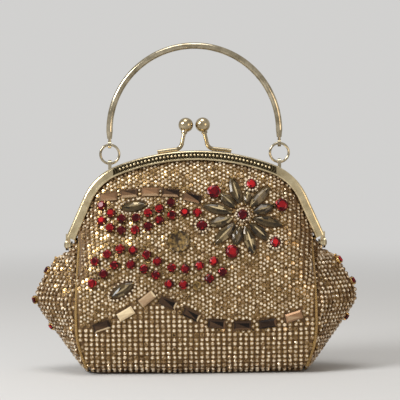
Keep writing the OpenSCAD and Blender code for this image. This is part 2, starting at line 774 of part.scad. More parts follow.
module ruby_stones() { color(red) at_each(concat(upper_wave, lower_wave)) round_stone(ruby_d); }
module ruby_settings() { color(gold) at_each(concat(upper_wave, lower_wave)) cup(ruby_d); }
module big_ruby_stones() { color(red) at_each(big_rubies) round_stone(big_ruby_d); }
module big_ruby_settings() { color(gold) at_each(big_rubies) cup(big_ruby_d); }
module halo_stones() { color(red) at_each(halo_rubies) round_stone(halo_ruby_d); }
module halo_settings() { color(gold) at_each(halo_rubies) cup(halo_ruby_d); }
module gusset_stones() { color(red) at_folds() round_stone(ruby_d); }
module gusset_settings() { color(gold) at_folds() cup(ruby_d); }
module bar_stones() { color(smoke) for (b = bars) on_panel(b.x, b.y, b.z) bar_stone(); }
module leaf_stones() { color(smoke) for (b = leaves) on_panel(b.x, b.y, b.z) pointed_stone(leaf_l, leaf_w); }
module empty_settings() { color(gold) for (b = lost_stones) on_panel(b.x, b.y) empty_cup(b.z); }

module flower_petals() {
    short_petal = round(petals * atan2(over_flower.y, over_flower.x) / 360 - 0.5);
    color(smoke) for (k = [0 : petals - 1])
        let (
            turn = 360 * (k + 0.5) / petals,
            l = k == short_petal ? short_petal_l : petal_l,
            w = petal_w * sqrt(l / petal_l),
            ring = petal_in + l / 2
        )
        on_panel(flower.x + ring * cos(turn), flower.y + ring * sin(turn), turn) pointed_stone(l, w);
}

front_panel();
back_panel();
gusset_left();
gusset_right();
base_panel();
lining_front();
lining_back();
lining_gusset_left();
lining_gusset_right();
base_board();
piping_front_left();
piping_front_right();
piping_back_left();
piping_back_right();
frame_front();
frame_back();
hinge_pin_left();
hinge_pin_right();
clasp_arm_front();
clasp_ball_front();
clasp_arm_back();
clasp_ball_back();
ring_lug_left();
ring_lug_right();
ring_left();
ring_right();
handle_tube();
handle_eye_left();
handle_eye_right();
ruby_stones();
ruby_settings();
big_ruby_stones();
big_ruby_settings();
halo_stones();
halo_settings();
flower_petals();
bar_stones();
leaf_stones();
empty_settings();
gusset_stones();
gusset_settings();
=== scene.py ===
"""Dresses the crystal evening bag: crystals, cut stones, gilt metal, lining, floor, lamps and camera."""

import logging
import math
from dataclasses import dataclass, field
from enum import Enum, IntEnum
from typing import Iterable, Optional

import bmesh
import bpy
import numpy as np
from mathutils import Matrix, Quaternion, Vector
from mathutils.bvhtree import BVHTree

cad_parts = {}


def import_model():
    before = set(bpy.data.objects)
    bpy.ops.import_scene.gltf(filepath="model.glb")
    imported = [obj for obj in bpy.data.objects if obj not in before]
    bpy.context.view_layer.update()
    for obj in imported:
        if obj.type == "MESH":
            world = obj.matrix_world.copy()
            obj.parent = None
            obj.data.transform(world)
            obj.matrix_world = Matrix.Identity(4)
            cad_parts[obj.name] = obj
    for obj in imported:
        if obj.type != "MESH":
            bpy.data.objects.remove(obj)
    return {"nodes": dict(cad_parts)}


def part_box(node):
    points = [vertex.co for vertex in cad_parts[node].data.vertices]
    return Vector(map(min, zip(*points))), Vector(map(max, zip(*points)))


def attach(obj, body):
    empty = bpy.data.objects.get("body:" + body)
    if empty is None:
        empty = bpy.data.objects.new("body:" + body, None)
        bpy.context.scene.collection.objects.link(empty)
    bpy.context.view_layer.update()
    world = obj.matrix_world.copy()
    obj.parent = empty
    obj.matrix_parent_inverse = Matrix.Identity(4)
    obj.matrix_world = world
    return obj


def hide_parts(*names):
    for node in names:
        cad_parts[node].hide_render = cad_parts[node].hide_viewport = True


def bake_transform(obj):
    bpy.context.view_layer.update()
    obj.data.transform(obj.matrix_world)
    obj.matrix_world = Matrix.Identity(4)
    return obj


LOG = logging.getLogger("evening_bag")
MM = 0.001
SEED = 4980
# Points closer than this are one point.
MERGE = 0.001 * MM
# Stones further out than this lie on a gusset.
GUSSET_X = 70.0 * MM
# Radians that the bands of a wave texture of scale 1 turn in a metre.
WAVE_RATE = 20.0

Triple = tuple[float, float, float]
Span = tuple[float, float]
Socket = bpy.types.NodeSocket
Material = bpy.types.Material
Piece = bpy.types.Object
Shape = bmesh.types.BMesh
Lattice = dict[tuple[int, int], Vector]
# A place for a crystal is a point and a normal, and a setting adds its chance distance and its size.
Seat = tuple[Vector, Vector]
Setting = tuple[Vector, Vector, float, float]


class Side(Enum):
    """Faces of the pouch that carry crystals."""

    FRONT = "front"
    BACK = "back"
    LEFT = "left"
    RIGHT = "right"


class Cut(Enum):
    """Cuts of the larger stones."""

    ROUND = "round"
    BAR = "bar"
    POINTED = "pointed"


class Coat(IntEnum):
    """Material slots of a set stone."""

    STONE = 0
    CUP = 1
    HALO = 2


class Shader:
    """A node material under construction, with a principled shader at its end."""

    def __init__(self, name: str) -> None:
        """Starts an empty material with a principled shader.

        Args:
            name: Name of the material.
        """
        self.material = bpy.data.materials.new(name)
        self.material.use_nodes = True
        self.tree = self.material.node_tree
        self.tree.nodes.clear()
        self.surface = self.tree.nodes.new("ShaderNodeBsdfPrincipled")
        self.output = self.tree.nodes.new("ShaderNodeOutputMaterial")
        self.tree.links.new(self.surface.outputs["BSDF"], self.output.inputs["Surface"])

    def set(self, **values: object) -> None:
        """Sets constant values on the shader's own sockets, with spaces in their names as underscores."""
        for name, value in values.items():
            self.surface.inputs[name.replace("_", " ")].default_value = value

    def node(self, kind: str, inputs: dict[object, object], **settings: object) -> bpy.types.Node:
        """Adds a node.

        Args:
            kind: Type of the node, without its common prefix.
            inputs: Constant values or sockets to link, by input name or number.
            settings: Node properties.

        Returns:
            The new node.
        """
        made = self.tree.nodes.new("ShaderNode" + kind)
        for name, value in settings.items():
            setattr(made, name, value)
        for name, value in inputs.items():
            if isinstance(value, Socket):
                self.tree.links.new(value, made.inputs[name])
            else:
                made.inputs[name].default_value = value
        return made

    def maths(self, operation: str, *values: object) -> Socket:
        """Adds a sum of sockets or numbers and returns its result."""
        return self.node("Math", dict(enumerate(values)), operation=operation).outputs["Value"]

    def vector(self, operation: str, result: str, *values: object) -> Socket:
        """Adds a sum of vectors and returns one of its results by name."""
        return self.node("VectorMath", dict(enumerate(values)), operation=operation).outputs[result]

    def mix(self, factor: Socket, first: object, second: object) -> Socket:
        """Mixes two colours, by the share of the second, and returns the result."""
        return self.node("Mix", {0: factor, 6: first, 7: second}, data_type="RGBA").outputs[2]

    def link(self, source: Socket, target: str) -> None:
        """Links a socket to one of the shader's inputs by name."""
        self.tree.links.new(source, self.surface.inputs[target])

    def place(self) -> Socket:
        """Returns the object coordinates."""
        return self.node("TexCoord", {}).outputs["Object"]

    def noise(self, place: Socket, scale: float, detail: float, roughness: float = 0.5) -> Socket:
        """Adds noise of a scale and returns its level."""
        inputs = {"Vector": place, "Scale": scale, "Detail": detail, "Roughness": roughness}
        return self.node("TexNoise", inputs).outputs["Fac"]

    def remap(self, value: Socket, source: Span, target: Span = (0.0, 1.0), curve: str = "LINEAR") -> Socket:
        """Maps one range onto another.

        Args:
            value: Socket to map.
            source: Its range.
            target: Range of the result.
            curve: Way between the ends.

        Returns:
            The socket with the result.
        """
        inputs = {"Value": value}
        for name, (low, high) in (("From", source), ("To", target)):
            inputs[name + " Min"] = low
            inputs[name + " Max"] = high
        return self.node("MapRange", inputs, interpolation_type=curve).outputs["Result"]

    def ramp(self, factor: Socket, stops: Iterable[tuple[float, Triple]]) -> Socket:
        """Adds a colour ramp.

        Args:
            factor: Socket that drives the ramp.
            stops: Positions and colours, in order.

        Returns:
            The socket with the colour.
        """
        made = self.node("ValToRGB", {"Fac": factor})
        band = made.color_ramp
        stops = list(stops)
        while len(band.elements) < len(stops):
            band.elements.new(1.0)
        for element, (position, colour) in zip(band.elements, stops):
            element.position = position
            element.color = (*colour, 1.0)
        return made.outputs["Color"]

    def bump(self, height: Socket, strength: float, distance: float) -> None:
        """Adds a bump to the shader, with its distance in metres."""
        made = self.node("Bump", {"Height": height, "Strength": strength, "Distance": distance})
        self.link(made.outputs["Normal"], "Normal")


@dataclass(frozen=True)
class GiltFinish:
    """Aged pale gilding, darkened by age in patches, with fine wear."""

    name: str
    bright: Triple
    dull: Triple
    roughness: float
    patch: float = 180.0
    lumps: float = 0.0
    metallic: float = 1.0
    edges: Span = (0.3, 0.62)
    wear: float = 900.0
    wear_levels: Span = (0.3, 0.7)
    wear_shares: Span = (0.7, 1.5)
    strength: float = 0.12
    relief: float = 0.3 * MM

    def build(self) -> Material:
        """Builds the gilding.

        Returns:
            The gilt material.
        """
        shader = Shader(self.name)
        place = shader.place()
        patches = shader.noise(place, self.patch, detail=6.0, roughness=0.6)
        shader.link(shader.ramp(patches, zip(self.edges, (self.dull, self.bright))), "Base Color")
        wear = shader.noise(place, self.wear, detail=3.0)
        low, high = self.wear_shares
        polish = shader.remap(wear, self.wear_levels, (self.roughness * low, self.roughness * high))
        shader.link(polish, "Roughness")
        shader.bump(shader.maths("MULTIPLY_ADD", patches, self.lumps, wear), self.strength, self.relief)
        shader.set(Metallic=self.metallic)
        return shader.material


@dataclass(frozen=True)
class StampedGiltFinish:
    """Gilding of the frame: bright on its rims, beads and legs, dark in the stamped band along its crown.
    The band's darkness is partly patina in its hollows and partly painted shade, and the crown's middle is
    darkened by painted shade.
    """

    name: str
    bright: Triple
    dull: Triple
    # The stamped band's recess and leaves are dark partly as patina in its hollows and partly as painted
    # shade.
    recess: Triple
    leaf: Triple
    crown_shade: Triple
    crown_radius: float = 121.0 * MM
    crown_centre: float = 0.6 * MM
    band_middle: float = 2.4 * MM
    band_half: float = 1.9 * MM
    band_reach: float = 45.0 * MM
    band_roughness: float = 0.25
    face_depth: float = 7.05 * MM
    leaf_pitch: float = 1.5 * MM
    leaf_sweep: float = 2.4
    leaf_edges: Span = (0.35, 0.95)
    # Painted shade darkens the crown's middle, and fades out over this reach to the sides.
    crown_shade_reach: Span = (34.0 * MM, 56.0 * MM)
    crown_shade_shares: Span = (0.8, 0.0)
    # The crown's outer edge is kept out of the painted shade.
    bright_edge: float = 0.7 * MM
    patch: float = 160.0
    edges: Span = (0.3, 0.62)
    wear: float = 900.0
    wear_roughness: float = 0.2
    wear_relief: float = 0.15
    roughness: float = 0.1
    strength: float = 0.5
    relief: float = 0.5 * MM

    def band(self, shader: Shader, place: Socket) -> tuple[Socket, ...]:
        """Finds the stamped band and its leaves.

        Args:
            shader: Material under construction.
            place: Object coordinates.

        Returns:
            The band's mask, the height of its leaves, the distance from the crown's centre, and the mask of
            all that isn't a bead.
        """
        from_centre = shader.vector("SUBTRACT", "Vector", place, (0.0, 0.0, self.crown_centre))
        parts = shader.node("SeparateXYZ", {"Vector": from_centre}).outputs
        level = shader.vector("MULTIPLY", "Vector", from_centre, (1.0, 0.0, 1.0))
        reach = shader.vector("LENGTH", "Value", level)
        middle = self.crown_radius - self.band_middle
        on_ring = shader.maths("COMPARE", reach, middle, self.band_half)
        on_crown = shader.maths("COMPARE", parts["X"], 0.0, self.band_reach)
        flat = shader.maths("LESS_THAN", shader.maths("ABSOLUTE", parts["Y"]), self.face_depth)
        mask = shader.maths("MULTIPLY", shader.maths("MULTIPLY", on_ring, on_crown), flat)
        angle = shader.maths("ARCTAN2", parts["X"], parts["Z"])
        turns = shader.maths("MULTIPLY", angle, math.tau * middle / self.leaf_pitch)
        aside = shader.maths("ABSOLUTE", shader.maths("SUBTRACT", reach, middle))
        swept = shader.maths("MULTIPLY_ADD", aside, self.leaf_sweep / self.band_half, turns)
        height = shader.maths("MULTIPLY_ADD", shader.maths("SINE", swept), 0.5, 0.5)
        return mask, height, reach, flat

    def build(self) -> Material:
        """Builds the gilding.

        Returns:
            The frame's material.
        """
        shader = Shader(self.name)
        place = shader.place()
        mask, height, reach, flat = self.band(shader, place)
        patches = shader.noise(place, self.patch, detail=6.0, roughness=0.6)
        plain = shader.ramp(patches, zip(self.edges, (self.dull, self.bright)))
        # The stamped band's colours: dark partly as patina and partly as painted shade.
        stamped = shader.ramp(height, zip(self.leaf_edges, (self.recess, self.leaf)))
        # Painted shade: the crown is darkened towards its middle, but not on its outer edge and not on the
        # beads.
        aside = shader.maths("ABSOLUTE", shader.node("SeparateXYZ", {"Vector": place}).outputs["X"])
        crown = shader.remap(aside, self.crown_shade_reach, self.crown_shade_shares)
        below = shader.maths("LESS_THAN", reach, self.crown_radius - self.bright_edge)
        crown_shaded = shader.maths("MULTIPLY", crown, shader.maths("MULTIPLY", below, flat))
        with_crown_shade = shader.mix(crown_shaded, plain, (*self.crown_shade, 1.0))
        shader.link(shader.mix(mask, with_crown_shade, stamped), "Base Color")
        wear = shader.noise(place, self.wear, detail=3.0)
        polish = shader.maths("MULTIPLY_ADD", wear, self.wear_roughness, self.roughness)
        shader.link(shader.maths("MULTIPLY_ADD", mask, self.band_roughness, polish), "Roughness")
        relief = shader.maths("MULTIPLY", height, mask)
        shader.bump(shader.maths("MULTIPLY_ADD", wear, self.wear_relief, relief), self.strength, self.relief)
        shader.set(Metallic=1.0)
        return shader.material


@dataclass(frozen=True)
class StoneFinish:
    """Cut and foiled glass whose facets and stones differ in shade by an attribute, which holds their
    painted glints and reflections as well as their chance tone.
    """

    name: str
    dark: Triple
    middle: Triple
    light: Triple
    metallic: float
    roughness: float
    gloss: float = 0.5
    haze: float = 0.3
    grain: float = 900.0

    def build(self) -> Material:
        """Builds the glass.

        Returns:
            The stone material.
        """
        shader = Shader(self.name)
        shade = shader.node("Attribute", {}, attribute_name="shade").outputs["Fac"]
        haze = shader.noise(shader.place(), self.grain, detail=2.0)
        level = shader.maths("ADD", shade, shader.maths("MULTIPLY_ADD", haze, self.haze, -self.haze / 2))
        colour = shader.ramp(level, zip((0.0, 0.5, 1.0), (self.dark, self.middle, self.light)))
        shader.link(colour, "Base Color")
        shader.set(Metallic=self.metallic, Roughness=self.roughness, IOR=1.5, Specular_IOR_Level=self.gloss)
        return shader.material


@dataclass(frozen=True)
class ClothFinish:
    """Woven cloth with a fine thread grid, a soft sheen and uneven dye."""

    name: str
    thread: Triple
    gap: Triple
    pitch: float
    sheen: float
    roughness: float = 0.75
    edges: Span = (0.0, 0.55)
    dye: float = 90.0
    strength: float = 0.35
    relief: float = 0.3 * MM

    def build(self) -> Material:
        """Builds the weave.

        Returns:
            The cloth material.
        """
        shader = Shader(self.name)
        place = shader.place()
        inputs = {
            "Vector": place, "Scale": math.tau / (WAVE_RATE * self.pitch), "Distortion": 0.6, "Detail": 1.0,
            "Detail Scale": 2.0,
        }
        threads = []
        for direction in ("X", "Z"):
            wave = shader.node("TexWave", inputs, wave_type="BANDS", bands_direction=direction)
            threads.append(wave.outputs["Fac"])
        weave = shader.maths("MULTIPLY", *threads)
        level = shader.maths("MULTIPLY", weave, shader.noise(place, self.dye, detail=4.0))
        shader.link(shader.ramp(level, zip(self.edges, (self.gap, self.thread))), "Base Color")
        shader.bump(weave, self.strength, self.relief)
        shader.set(Roughness=self.roughness, Sheen_Weight=self.sheen)
        return shader.material


@dataclass(frozen=True)
class FloorFinish:
    """Matt studio floor with a faint mottle, which passes into the pale background far from the bag."""

    name: str
    colour: Triple
    far_colour: Triple
    reach: Span = (0.3, 1.0)
    mottle: float = 3.0
    mottle_share: float = 0.985
    edges: Span = (0.3, 0.7)
    roughness: float = 0.9

    def build(self) -> Material:
        """Builds the floor's look.

        Returns:
            The floor material.
        """
        shader = Shader(self.name)
        place = shader.place()
        low = tuple(self.mottle_share * c for c in self.colour)
        mottle = shader.noise(place, self.mottle, detail=2.0)
        shader.link(shader.ramp(mottle, zip(self.edges, (low, self.colour))), "Base Color")
        shader.set(Roughness=self.roughness)
        share = shader.remap(shader.vector("LENGTH", "Value", place), self.reach, curve="SMOOTHSTEP")
        glow = shader.node("Emission", {"Color": (*self.far_colour, 1.0), "Strength": 1.0})
        both = shader.node("MixShader", {
            0: shader.maths("MULTIPLY", share, seen_rays(shader.tree)),
            1: shader.surface.outputs["BSDF"], 2: glow.outputs["Emission"],
        })
        shader.tree.links.new(both.outputs["Shader"], shader.output.inputs["Surface"])
        return shader.material


def seen_rays(tree: bpy.types.NodeTree) -> Socket:
    """Adds a mask of the rays that show a background: straight, mirrored or let through.

    Args:
        tree: Node tree of a material or a world.

    Returns:
        The socket with the mask.
    """
    path = tree.nodes.new("ShaderNodeLightPath")
    total = path.outputs["Is Camera Ray"]
    for name in ("Is Glossy Ray", "Is Transmission Ray"):
        either = tree.nodes.new("ShaderNodeMath")
        either.operation = "MAXIMUM"
        tree.links.new(total, either.inputs[0])
        tree.links.new(path.outputs[name], either.inputs[1])
        total = either.outputs["Value"]
    return total


@dataclass(frozen=True)
class Finishes:
    """All materials of the bag, built once."""

    gilt: Material = field(default_factory=GiltFinish(
        "aged_gilt", bright=(0.52, 0.43, 0.28), dull=(0.24, 0.185, 0.105), roughness=0.13).build)
    pale: Material = field(default_factory=GiltFinish(
        "pale_gilt", bright=(0.52, 0.45, 0.32), dull=(0.23, 0.19, 0.12), roughness=0.13).build)
    band: Material = field(default_factory=StampedGiltFinish(
        "stamped_gilt", bright=(0.73, 0.61, 0.385), dull=(0.44, 0.345, 0.19), recess=(0.02, 0.015, 0.008),
        leaf=(0.07, 0.056, 0.03), crown_shade=(0.2, 0.16, 0.09)).build)
    cup: Material = field(default_factory=GiltFinish(
        "setting_gilt", bright=(0.62, 0.4, 0.145), dull=(0.28, 0.167, 0.058), roughness=0.3,
        patch=500.0).build)
    foil: Material = field(default_factory=GiltFinish(
        "bare_foil", bright=(0.3, 0.19, 0.06), dull=(0.03, 0.017, 0.006), roughness=0.4, patch=330.0,
        lumps=45.0, metallic=0.5, edges=(0.42, 0.6)).build)
    crystal: Material = field(default_factory=StoneFinish(
        "clear_crystal", dark=(0.046, 0.025, 0.0095), middle=(0.272, 0.165, 0.071), light=(0.9, 0.77, 0.58),
        metallic=0.3, roughness=0.14).build)
    red: Material = field(default_factory=StoneFinish(
        "red_glass", dark=(0.012, 0.0, 0.001), middle=(0.085, 0.0, 0.003), light=(0.5, 0.012, 0.015),
        metallic=0.15, roughness=0.06, gloss=0.25).build)
    smoke: Material = field(default_factory=StoneFinish(
        "smoky_glass", dark=(0.012, 0.008, 0.003), middle=(0.086, 0.056, 0.02), light=(0.72, 0.57, 0.32),
        metallic=0.15, roughness=0.07, gloss=0.4).build)
    bronze: Material = field(default_factory=StoneFinish(
        "bronze_glass", dark=(0.008, 0.005, 0.004), middle=(0.3, 0.165, 0.085), light=(0.95, 0.78, 0.5),
        metallic=0.3, roughness=0.08, gloss=0.2, haze=0.08).build)
    ground: Material = field(default_factory=ClothFinish(
        "gold_ground", thread=(0.29, 0.16, 0.052), gap=(0.085, 0.043, 0.015), pitch=0.9 * MM,
        sheen=0.1).build)
    satin: Material = field(default_factory=ClothFinish(
        "lining_satin", thread=(0.3, 0.22, 0.14), gap=(0.14, 0.1, 0.06), pitch=0.5 * MM, sheen=0.5,
        roughness=0.45).build)
    cord: Material = field(default_factory=ClothFinish(
        "gold_thread", thread=(0.7, 0.45, 0.12), gap=(0.25, 0.14, 0.035), pitch=0.6 * MM, sheen=0.2,
        roughness=0.4).build)


def named_object(name: str, mesh: bpy.types.Mesh, *materials: Material) -> Piece:
    """Adds a mesh object at the origin.

    Args:
        name: Name of the piece.
        mesh: Its mesh.
        materials: Its materials, in slot order.

    Returns:
        The new object.
    """
    made = bpy.data.objects.new(name, mesh)
    bpy.context.scene.collection.objects.link(made)
    for material in materials:
        mesh.materials.append(material)
    return made


def mesh_from(shape: Shape, name: str) -> bpy.types.Mesh:
    """Turns a working mesh into a finished one and frees it.

    Args:
        shape: The working mesh.
        name: Name of the finished mesh.

    Returns:
        The finished mesh.
    """
    bmesh.ops.recalc_face_normals(shape, faces=shape.faces[:])
    mesh = bpy.data.meshes.new(name)
    shape.to_mesh(mesh)
    shape.free()
    return mesh


def stand_in(node: str, ending: str, shape: Shape, material: Material, smooth: bool = False) -> Piece:
    """Makes a piece that replaces a CAD node.

    Args:
        node: The CAD node.
        ending: Ending of the piece's name, after the node's.
        shape: Working mesh of the piece, which is freed.
        material: Its finish.
        smooth: True for a smoothly shaded piece.

    Returns:
        The piece.
    """
    made = named_object(node + ending, mesh_from(shape, node + ending), material)
    if smooth:
        for polygon in made.data.polygons:
            polygon.use_smooth = True
    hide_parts(node)
    return made


def merged_copy(node: str) -> Shape:
    """Copies a CAD node's mesh with its doubles merged.

    Args:
        node: The CAD node.

    Returns:
        A working mesh.
    """
    shape = bmesh.new()
    shape.from_mesh(FRAME["nodes"][node].data)
    bmesh.ops.remove_doubles(shape, verts=shape.verts[:], dist=MERGE)
    return shape


def surface_of(mesh: bpy.types.Mesh) -> BVHTree:
    """Returns a mesh's surface for ray casts."""
    points = [v.co.copy() for v in mesh.vertices]
    return BVHTree.FromPolygons(points, [tuple(p.vertices) for p in mesh.polygons])


def cad_surface(node: str) -> BVHTree:
    """Returns a CAD node's surface for ray casts."""
    return surface_of(FRAME["nodes"][node].data)


def arc_lengths(line: np.ndarray) -> np.ndarray:
    """Returns the arc length at each point of a line."""
    steps = np.linalg.norm(np.diff(line, axis=0), axis=1)
    return np.concatenate([[0.0], np.cumsum(steps)])


def point_at(place: float, arc: np.ndarray, line: np.ndarray) -> Vector:
    """Returns the point of a line at an arc length."""
    return Vector([np.interp(place, arc, line[:, i]) for i in range(3)])


def turn_to(along: Vector, across: Vector, out: Vector) -> Matrix:
    """Returns the turn that brings x, y and z to three directions."""
    return Matrix((along, across, out)).transposed().to_4x4()


def level_across(out: Vector) -> Vector:
    """Returns the level direction at right angles to a direction out of the cloth."""
    return Vector((0.0, 0.0, 1.0)).cross(out).normalized()


def shift(shape: Shape, x: float, y: float, z: float) -> None:
    """Moves a whole working mesh."""
    bmesh.ops.translate(shape, verts=shape.verts[:], vec=(x, y, z))


@dataclass
class Stone:
    """One larger stone of the CAD: its middle, its own axes and its half sizes."""

    cut: Cut
    centre: Vector
    along: Vector
    across: Vector
    out: Vector
    half: Triple
    room: float = 1.0 * MM
    depth: float = 12.0 * MM

    def covers(self, point: Vector, size: float) -> bool:
        """Tells whether a crystal on the cloth would lie under the stone or within its own room.

        Args:
            point: Place of the crystal.
            size: Size of the crystal against the even grid's.

        Returns:
            True if the stone covers the point.
        """
        offset = point - self.centre
        if abs(offset.dot(self.out)) > self.depth:
            return False
        x = offset.dot(self.along) / (self.half[0] + self.room * size)
        y = offset.dot(self.across) / (self.half[1] + self.room * size)
        if self.cut is Cut.BAR:
            return abs(x) < 1.0 and abs(y) < 1.0
        if self.cut is Cut.POINTED:
            return abs(y) < 1.0 - x * x
        return x * x + y * y < 1.0

    def matrix(self) -> Matrix:
        """Returns the placement of the stone, with its own z pointing out of the cloth."""
        foot = self.centre - self.out * self.half[2]
        return Matrix.Translation(foot) @ turn_to(self.along, self.across, self.out)


def stones_of(node: str, cut: Cut) -> list[Stone]:
    """Reads the separate stones of a CAD node.

    Args:
        node: The node that holds the stones.
        cut: Their cut.

    Returns:
        One stone for each loose solid of the node.
    """
    shape = merged_copy(node)
    left = set(shape.verts)
    found = []
    for first in shape.verts:
        if first not in left:
            continue
        left.remove(first)
        queue = [first]
        island = []
        while queue:
            vertex = queue.pop()
            island.append(vertex.co.copy())
            for edge in vertex.link_edges:
                other = edge.other_vert(vertex)
                if other in left:
                    left.remove(other)
                    queue.append(other)
        found.append(stone_from(island, cut))
    shape.free()
    found.sort(key=lambda s: (round(s.centre.x, 5), round(s.centre.z, 5)))
    return found


def stone_from(points: list[Vector], cut: Cut) -> Stone:
    """Measures one stone by its own axes.

    Args:
        points: Vertices of the stone.
        cut: Its cut.

    Returns:
        The measured stone.
    """
    cloud = np.array([tuple(p) for p in points])
    middle = (cloud.max(axis=0) + cloud.min(axis=0)) / 2
    offsets = cloud - cloud.mean(axis=0)
    _, axes = np.linalg.eigh(offsets.T @ offsets)
    out = Vector(axes[:, 0])
    outward = Vector((0.0, middle[1], 0.0))
    if abs(middle[0]) > GUSSET_X:
        outward.x = middle[0]
    if out.dot(outward) < 0:
        out.negate()
    along = level_across(out) if cut is Cut.ROUND else Vector(axes[:, 2])
    if along.x < 0:
        along.negate()
    across = out.cross(along).normalized()
    spans = []
    centre = Vector((0.0, 0.0, 0.0))
    for axis in (along, across, out):
        reach = cloud @ np.array(tuple(axis))
        spans.append(float(reach.max() - reach.min()) / 2)
        centre += axis * float(reach.max() + reach.min()) / 2
    return Stone(cut, centre, along, across, out, (spans[0], spans[1], spans[2]))


@dataclass(frozen=True)
class BarReflection:
    """Painted reflection of one bar stone: the tone of its table, how its halves differ, and how light its
    bevels are.
    """

    tone: float = 0.0
    split: float = 0.0
    right: float = 0.0
    lower: float = 0.0


@dataclass
class Facets:
    """A working mesh of facets, with the material slot and the shades that they get, which paint glints and
    reflections on them.
    """

    shape: Shape
    coat: Coat
    shade: float
    spread: float
    # The level top's change of shade is a painted glint, and a bar's foil holds its painted reflections.
    table: float = 0.0
    foil: BarReflection = BarReflection()
    level: float = 0.95

    def shades(self) -> list[float]:
        """Finds the mean shade of each facet, with painted glints and reflections: the level top takes its
        own shade, the lower half of a bar's top is lighter, and the right and lower bevels are painted
        lighter.

        Returns:
            One shade for each face.
        """
        found = []
        for face in self.shape.faces:
            right = self.foil.right * max(face.normal.x, 0.0)
            shade = self.shade + right - self.foil.lower * min(face.normal.y, 0.0)
            if face.normal.z > self.level:
                shade += self.table + math.copysign(self.foil.split, -face.calc_center_median().y)
            found.append(shade)
        return found


class Template:
    """A small shape to set many times, with the mean shade of each facet and its spread, which paint glints
    and reflections on the stones.
    """

    underside: float = -0.9
    tier_rank: float = 1000.0 / MM
    first_angle: float = 0.1

    def __init__(self, name: str, parts: list[Facets]) -> None:
        """Joins working meshes into one mesh and frees them.

        Args:
            name: Name of the mesh.
            parts: The working meshes. Their undersides, which lie on the cloth, are left out.
        """
        self.mesh = bpy.data.meshes.new(name)
        whole = bmesh.new()
        shades: list[float] = []
        spreads: list[float] = []
        for part in parts:
            bmesh.ops.recalc_face_normals(part.shape, faces=part.shape.faces[:])
            hidden = [face for face in part.shape.faces if face.normal.z < self.underside]
            bmesh.ops.delete(part.shape, geom=hidden, context="FACES_ONLY")
            part.shape.faces.sort(key=self.rank)
            for face in part.shape.faces:
                face.material_index = part.coat
            shades.extend(part.shades())
            spreads.extend([part.spread] * len(part.shape.faces))
            part.shape.to_mesh(self.mesh)
            part.shape.free()
            whole.from_mesh(self.mesh)
        whole.to_mesh(self.mesh)
        whole.free()
        self.mesh.attributes.new("shade", "FLOAT", "FACE")
        self.points = np.zeros(3 * len(self.mesh.vertices))
        self.mesh.vertices.foreach_get("co", self.points)
        self.points = self.points.reshape(-1, 3)
        self.means = np.array(shades)
        self.spreads = np.array(spreads)

    def rank(self, face: bmesh.types.BMFace) -> float:
        """Returns a face's rank in a fixed order: upward by tiers, and round the z axis in each."""
        middle = face.calc_center_median()
        return self.tier_rank * middle.z + (math.atan2(middle.y, middle.x) + self.first_angle) % math.tau

    def placed(self, matrix: Matrix, change: float, rng: np.random.Generator) -> bpy.types.Mesh:
        """Moves the mesh to one place.

        Args:
            matrix: The placement.
            change: Change of shade of the whole shape.
            rng: Source of the facets' chance shades.

        Returns:
            The template's own mesh, moved and shaded until the next call.
        """
        points = self.points @ np.array(matrix.to_3x3()).T + np.array(tuple(matrix.translation))
        self.mesh.vertices.foreach_set("co", points.ravel())
        shades = self.means + change + self.spreads * rng.normal(0.0, 1.0, len(self.means))
        self.mesh.attributes["shade"].data.foreach_set("value", np.clip(shades, 0.0, 1.0))
        return self.mesh


Item = tuple[Template, Matrix, float]


def scatter(name: str, items: list[Item], rng: np.random.Generator, *materials: Material) -> Piece:
    """Sets templates at many places as one piece.

    Args:
        name: Name of the piece.
        items: Template, placement and change of shade for each place.
        rng: Source of the facets' chance shades.
        materials: Materials in slot order.

    Returns:
        The new object, with a shade attribute on its faces.
    """
    whole = bmesh.new()
    for template, matrix, change in items:
        whole.from_mesh(template.placed(matrix, change, rng))
    mesh = bpy.data.meshes.new(name)
    whole.to_mesh(mesh)
    whole.free()
    return named_object(name, mesh, *materials)


def frustum(sides: int, radii: Span, heights: Span, turn: float = 0.0) -> Shape:
    """Makes a many-sided frustum on the z axis.

    Args:
        sides: Number of sides.
        radii: Radii at the bottom and the top.
        heights: Heights of the bottom and the top.
        turn: Turn about z, in radians.

    Returns:
        A working mesh.
    """
    bottom, top = heights
    shape = bmesh.new()
    bmesh.ops.create_cone(
        shape, cap_ends=True, cap_tris=False, segments=sides, radius1=radii[0], radius2=radii[1],
        depth=top - bottom)
    bmesh.ops.rotate(shape, verts=shape.verts[:], cent=(0, 0, 0), matrix=Matrix.Rotation(turn, 3, "Z"))
    shift(shape, 0.0, 0.0, (top + bottom) / 2)
    return shape


def draw_in(shape: Shape, along: float, across: float, rise: float, turn: float = 0.0) -> None:
    """Cuts a tier of facets on a prism: its top face is drawn in, lifted and turned.

    Args:
        shape: Working mesh on the z axis whose top face is level.
        along: Share of the top's length that is left.
        across: Share of the top's width that is left.
        rise: Height of the tier.
        turn: Turn of the new top about z, in radians.
    """
    top = max(shape.faces, key=lambda f: f.calc_center_median().z)
    made = bmesh.ops.extrude_face_region(shape, geom=[top])
    bmesh.ops.delete(shape, geom=[top], context="FACES_ONLY")
    moved = [v for v in made["geom"] if isinstance(v, bmesh.types.BMVert)]
    bmesh.ops.scale(shape, verts=moved, vec=(along, across, 1.0))
    bmesh.ops.rotate(shape, verts=moved, cent=(0, 0, 0), matrix=Matrix.Rotation(turn, 3, "Z"))
    bmesh.ops.translate(shape, verts=moved, vec=(0, 0, rise))


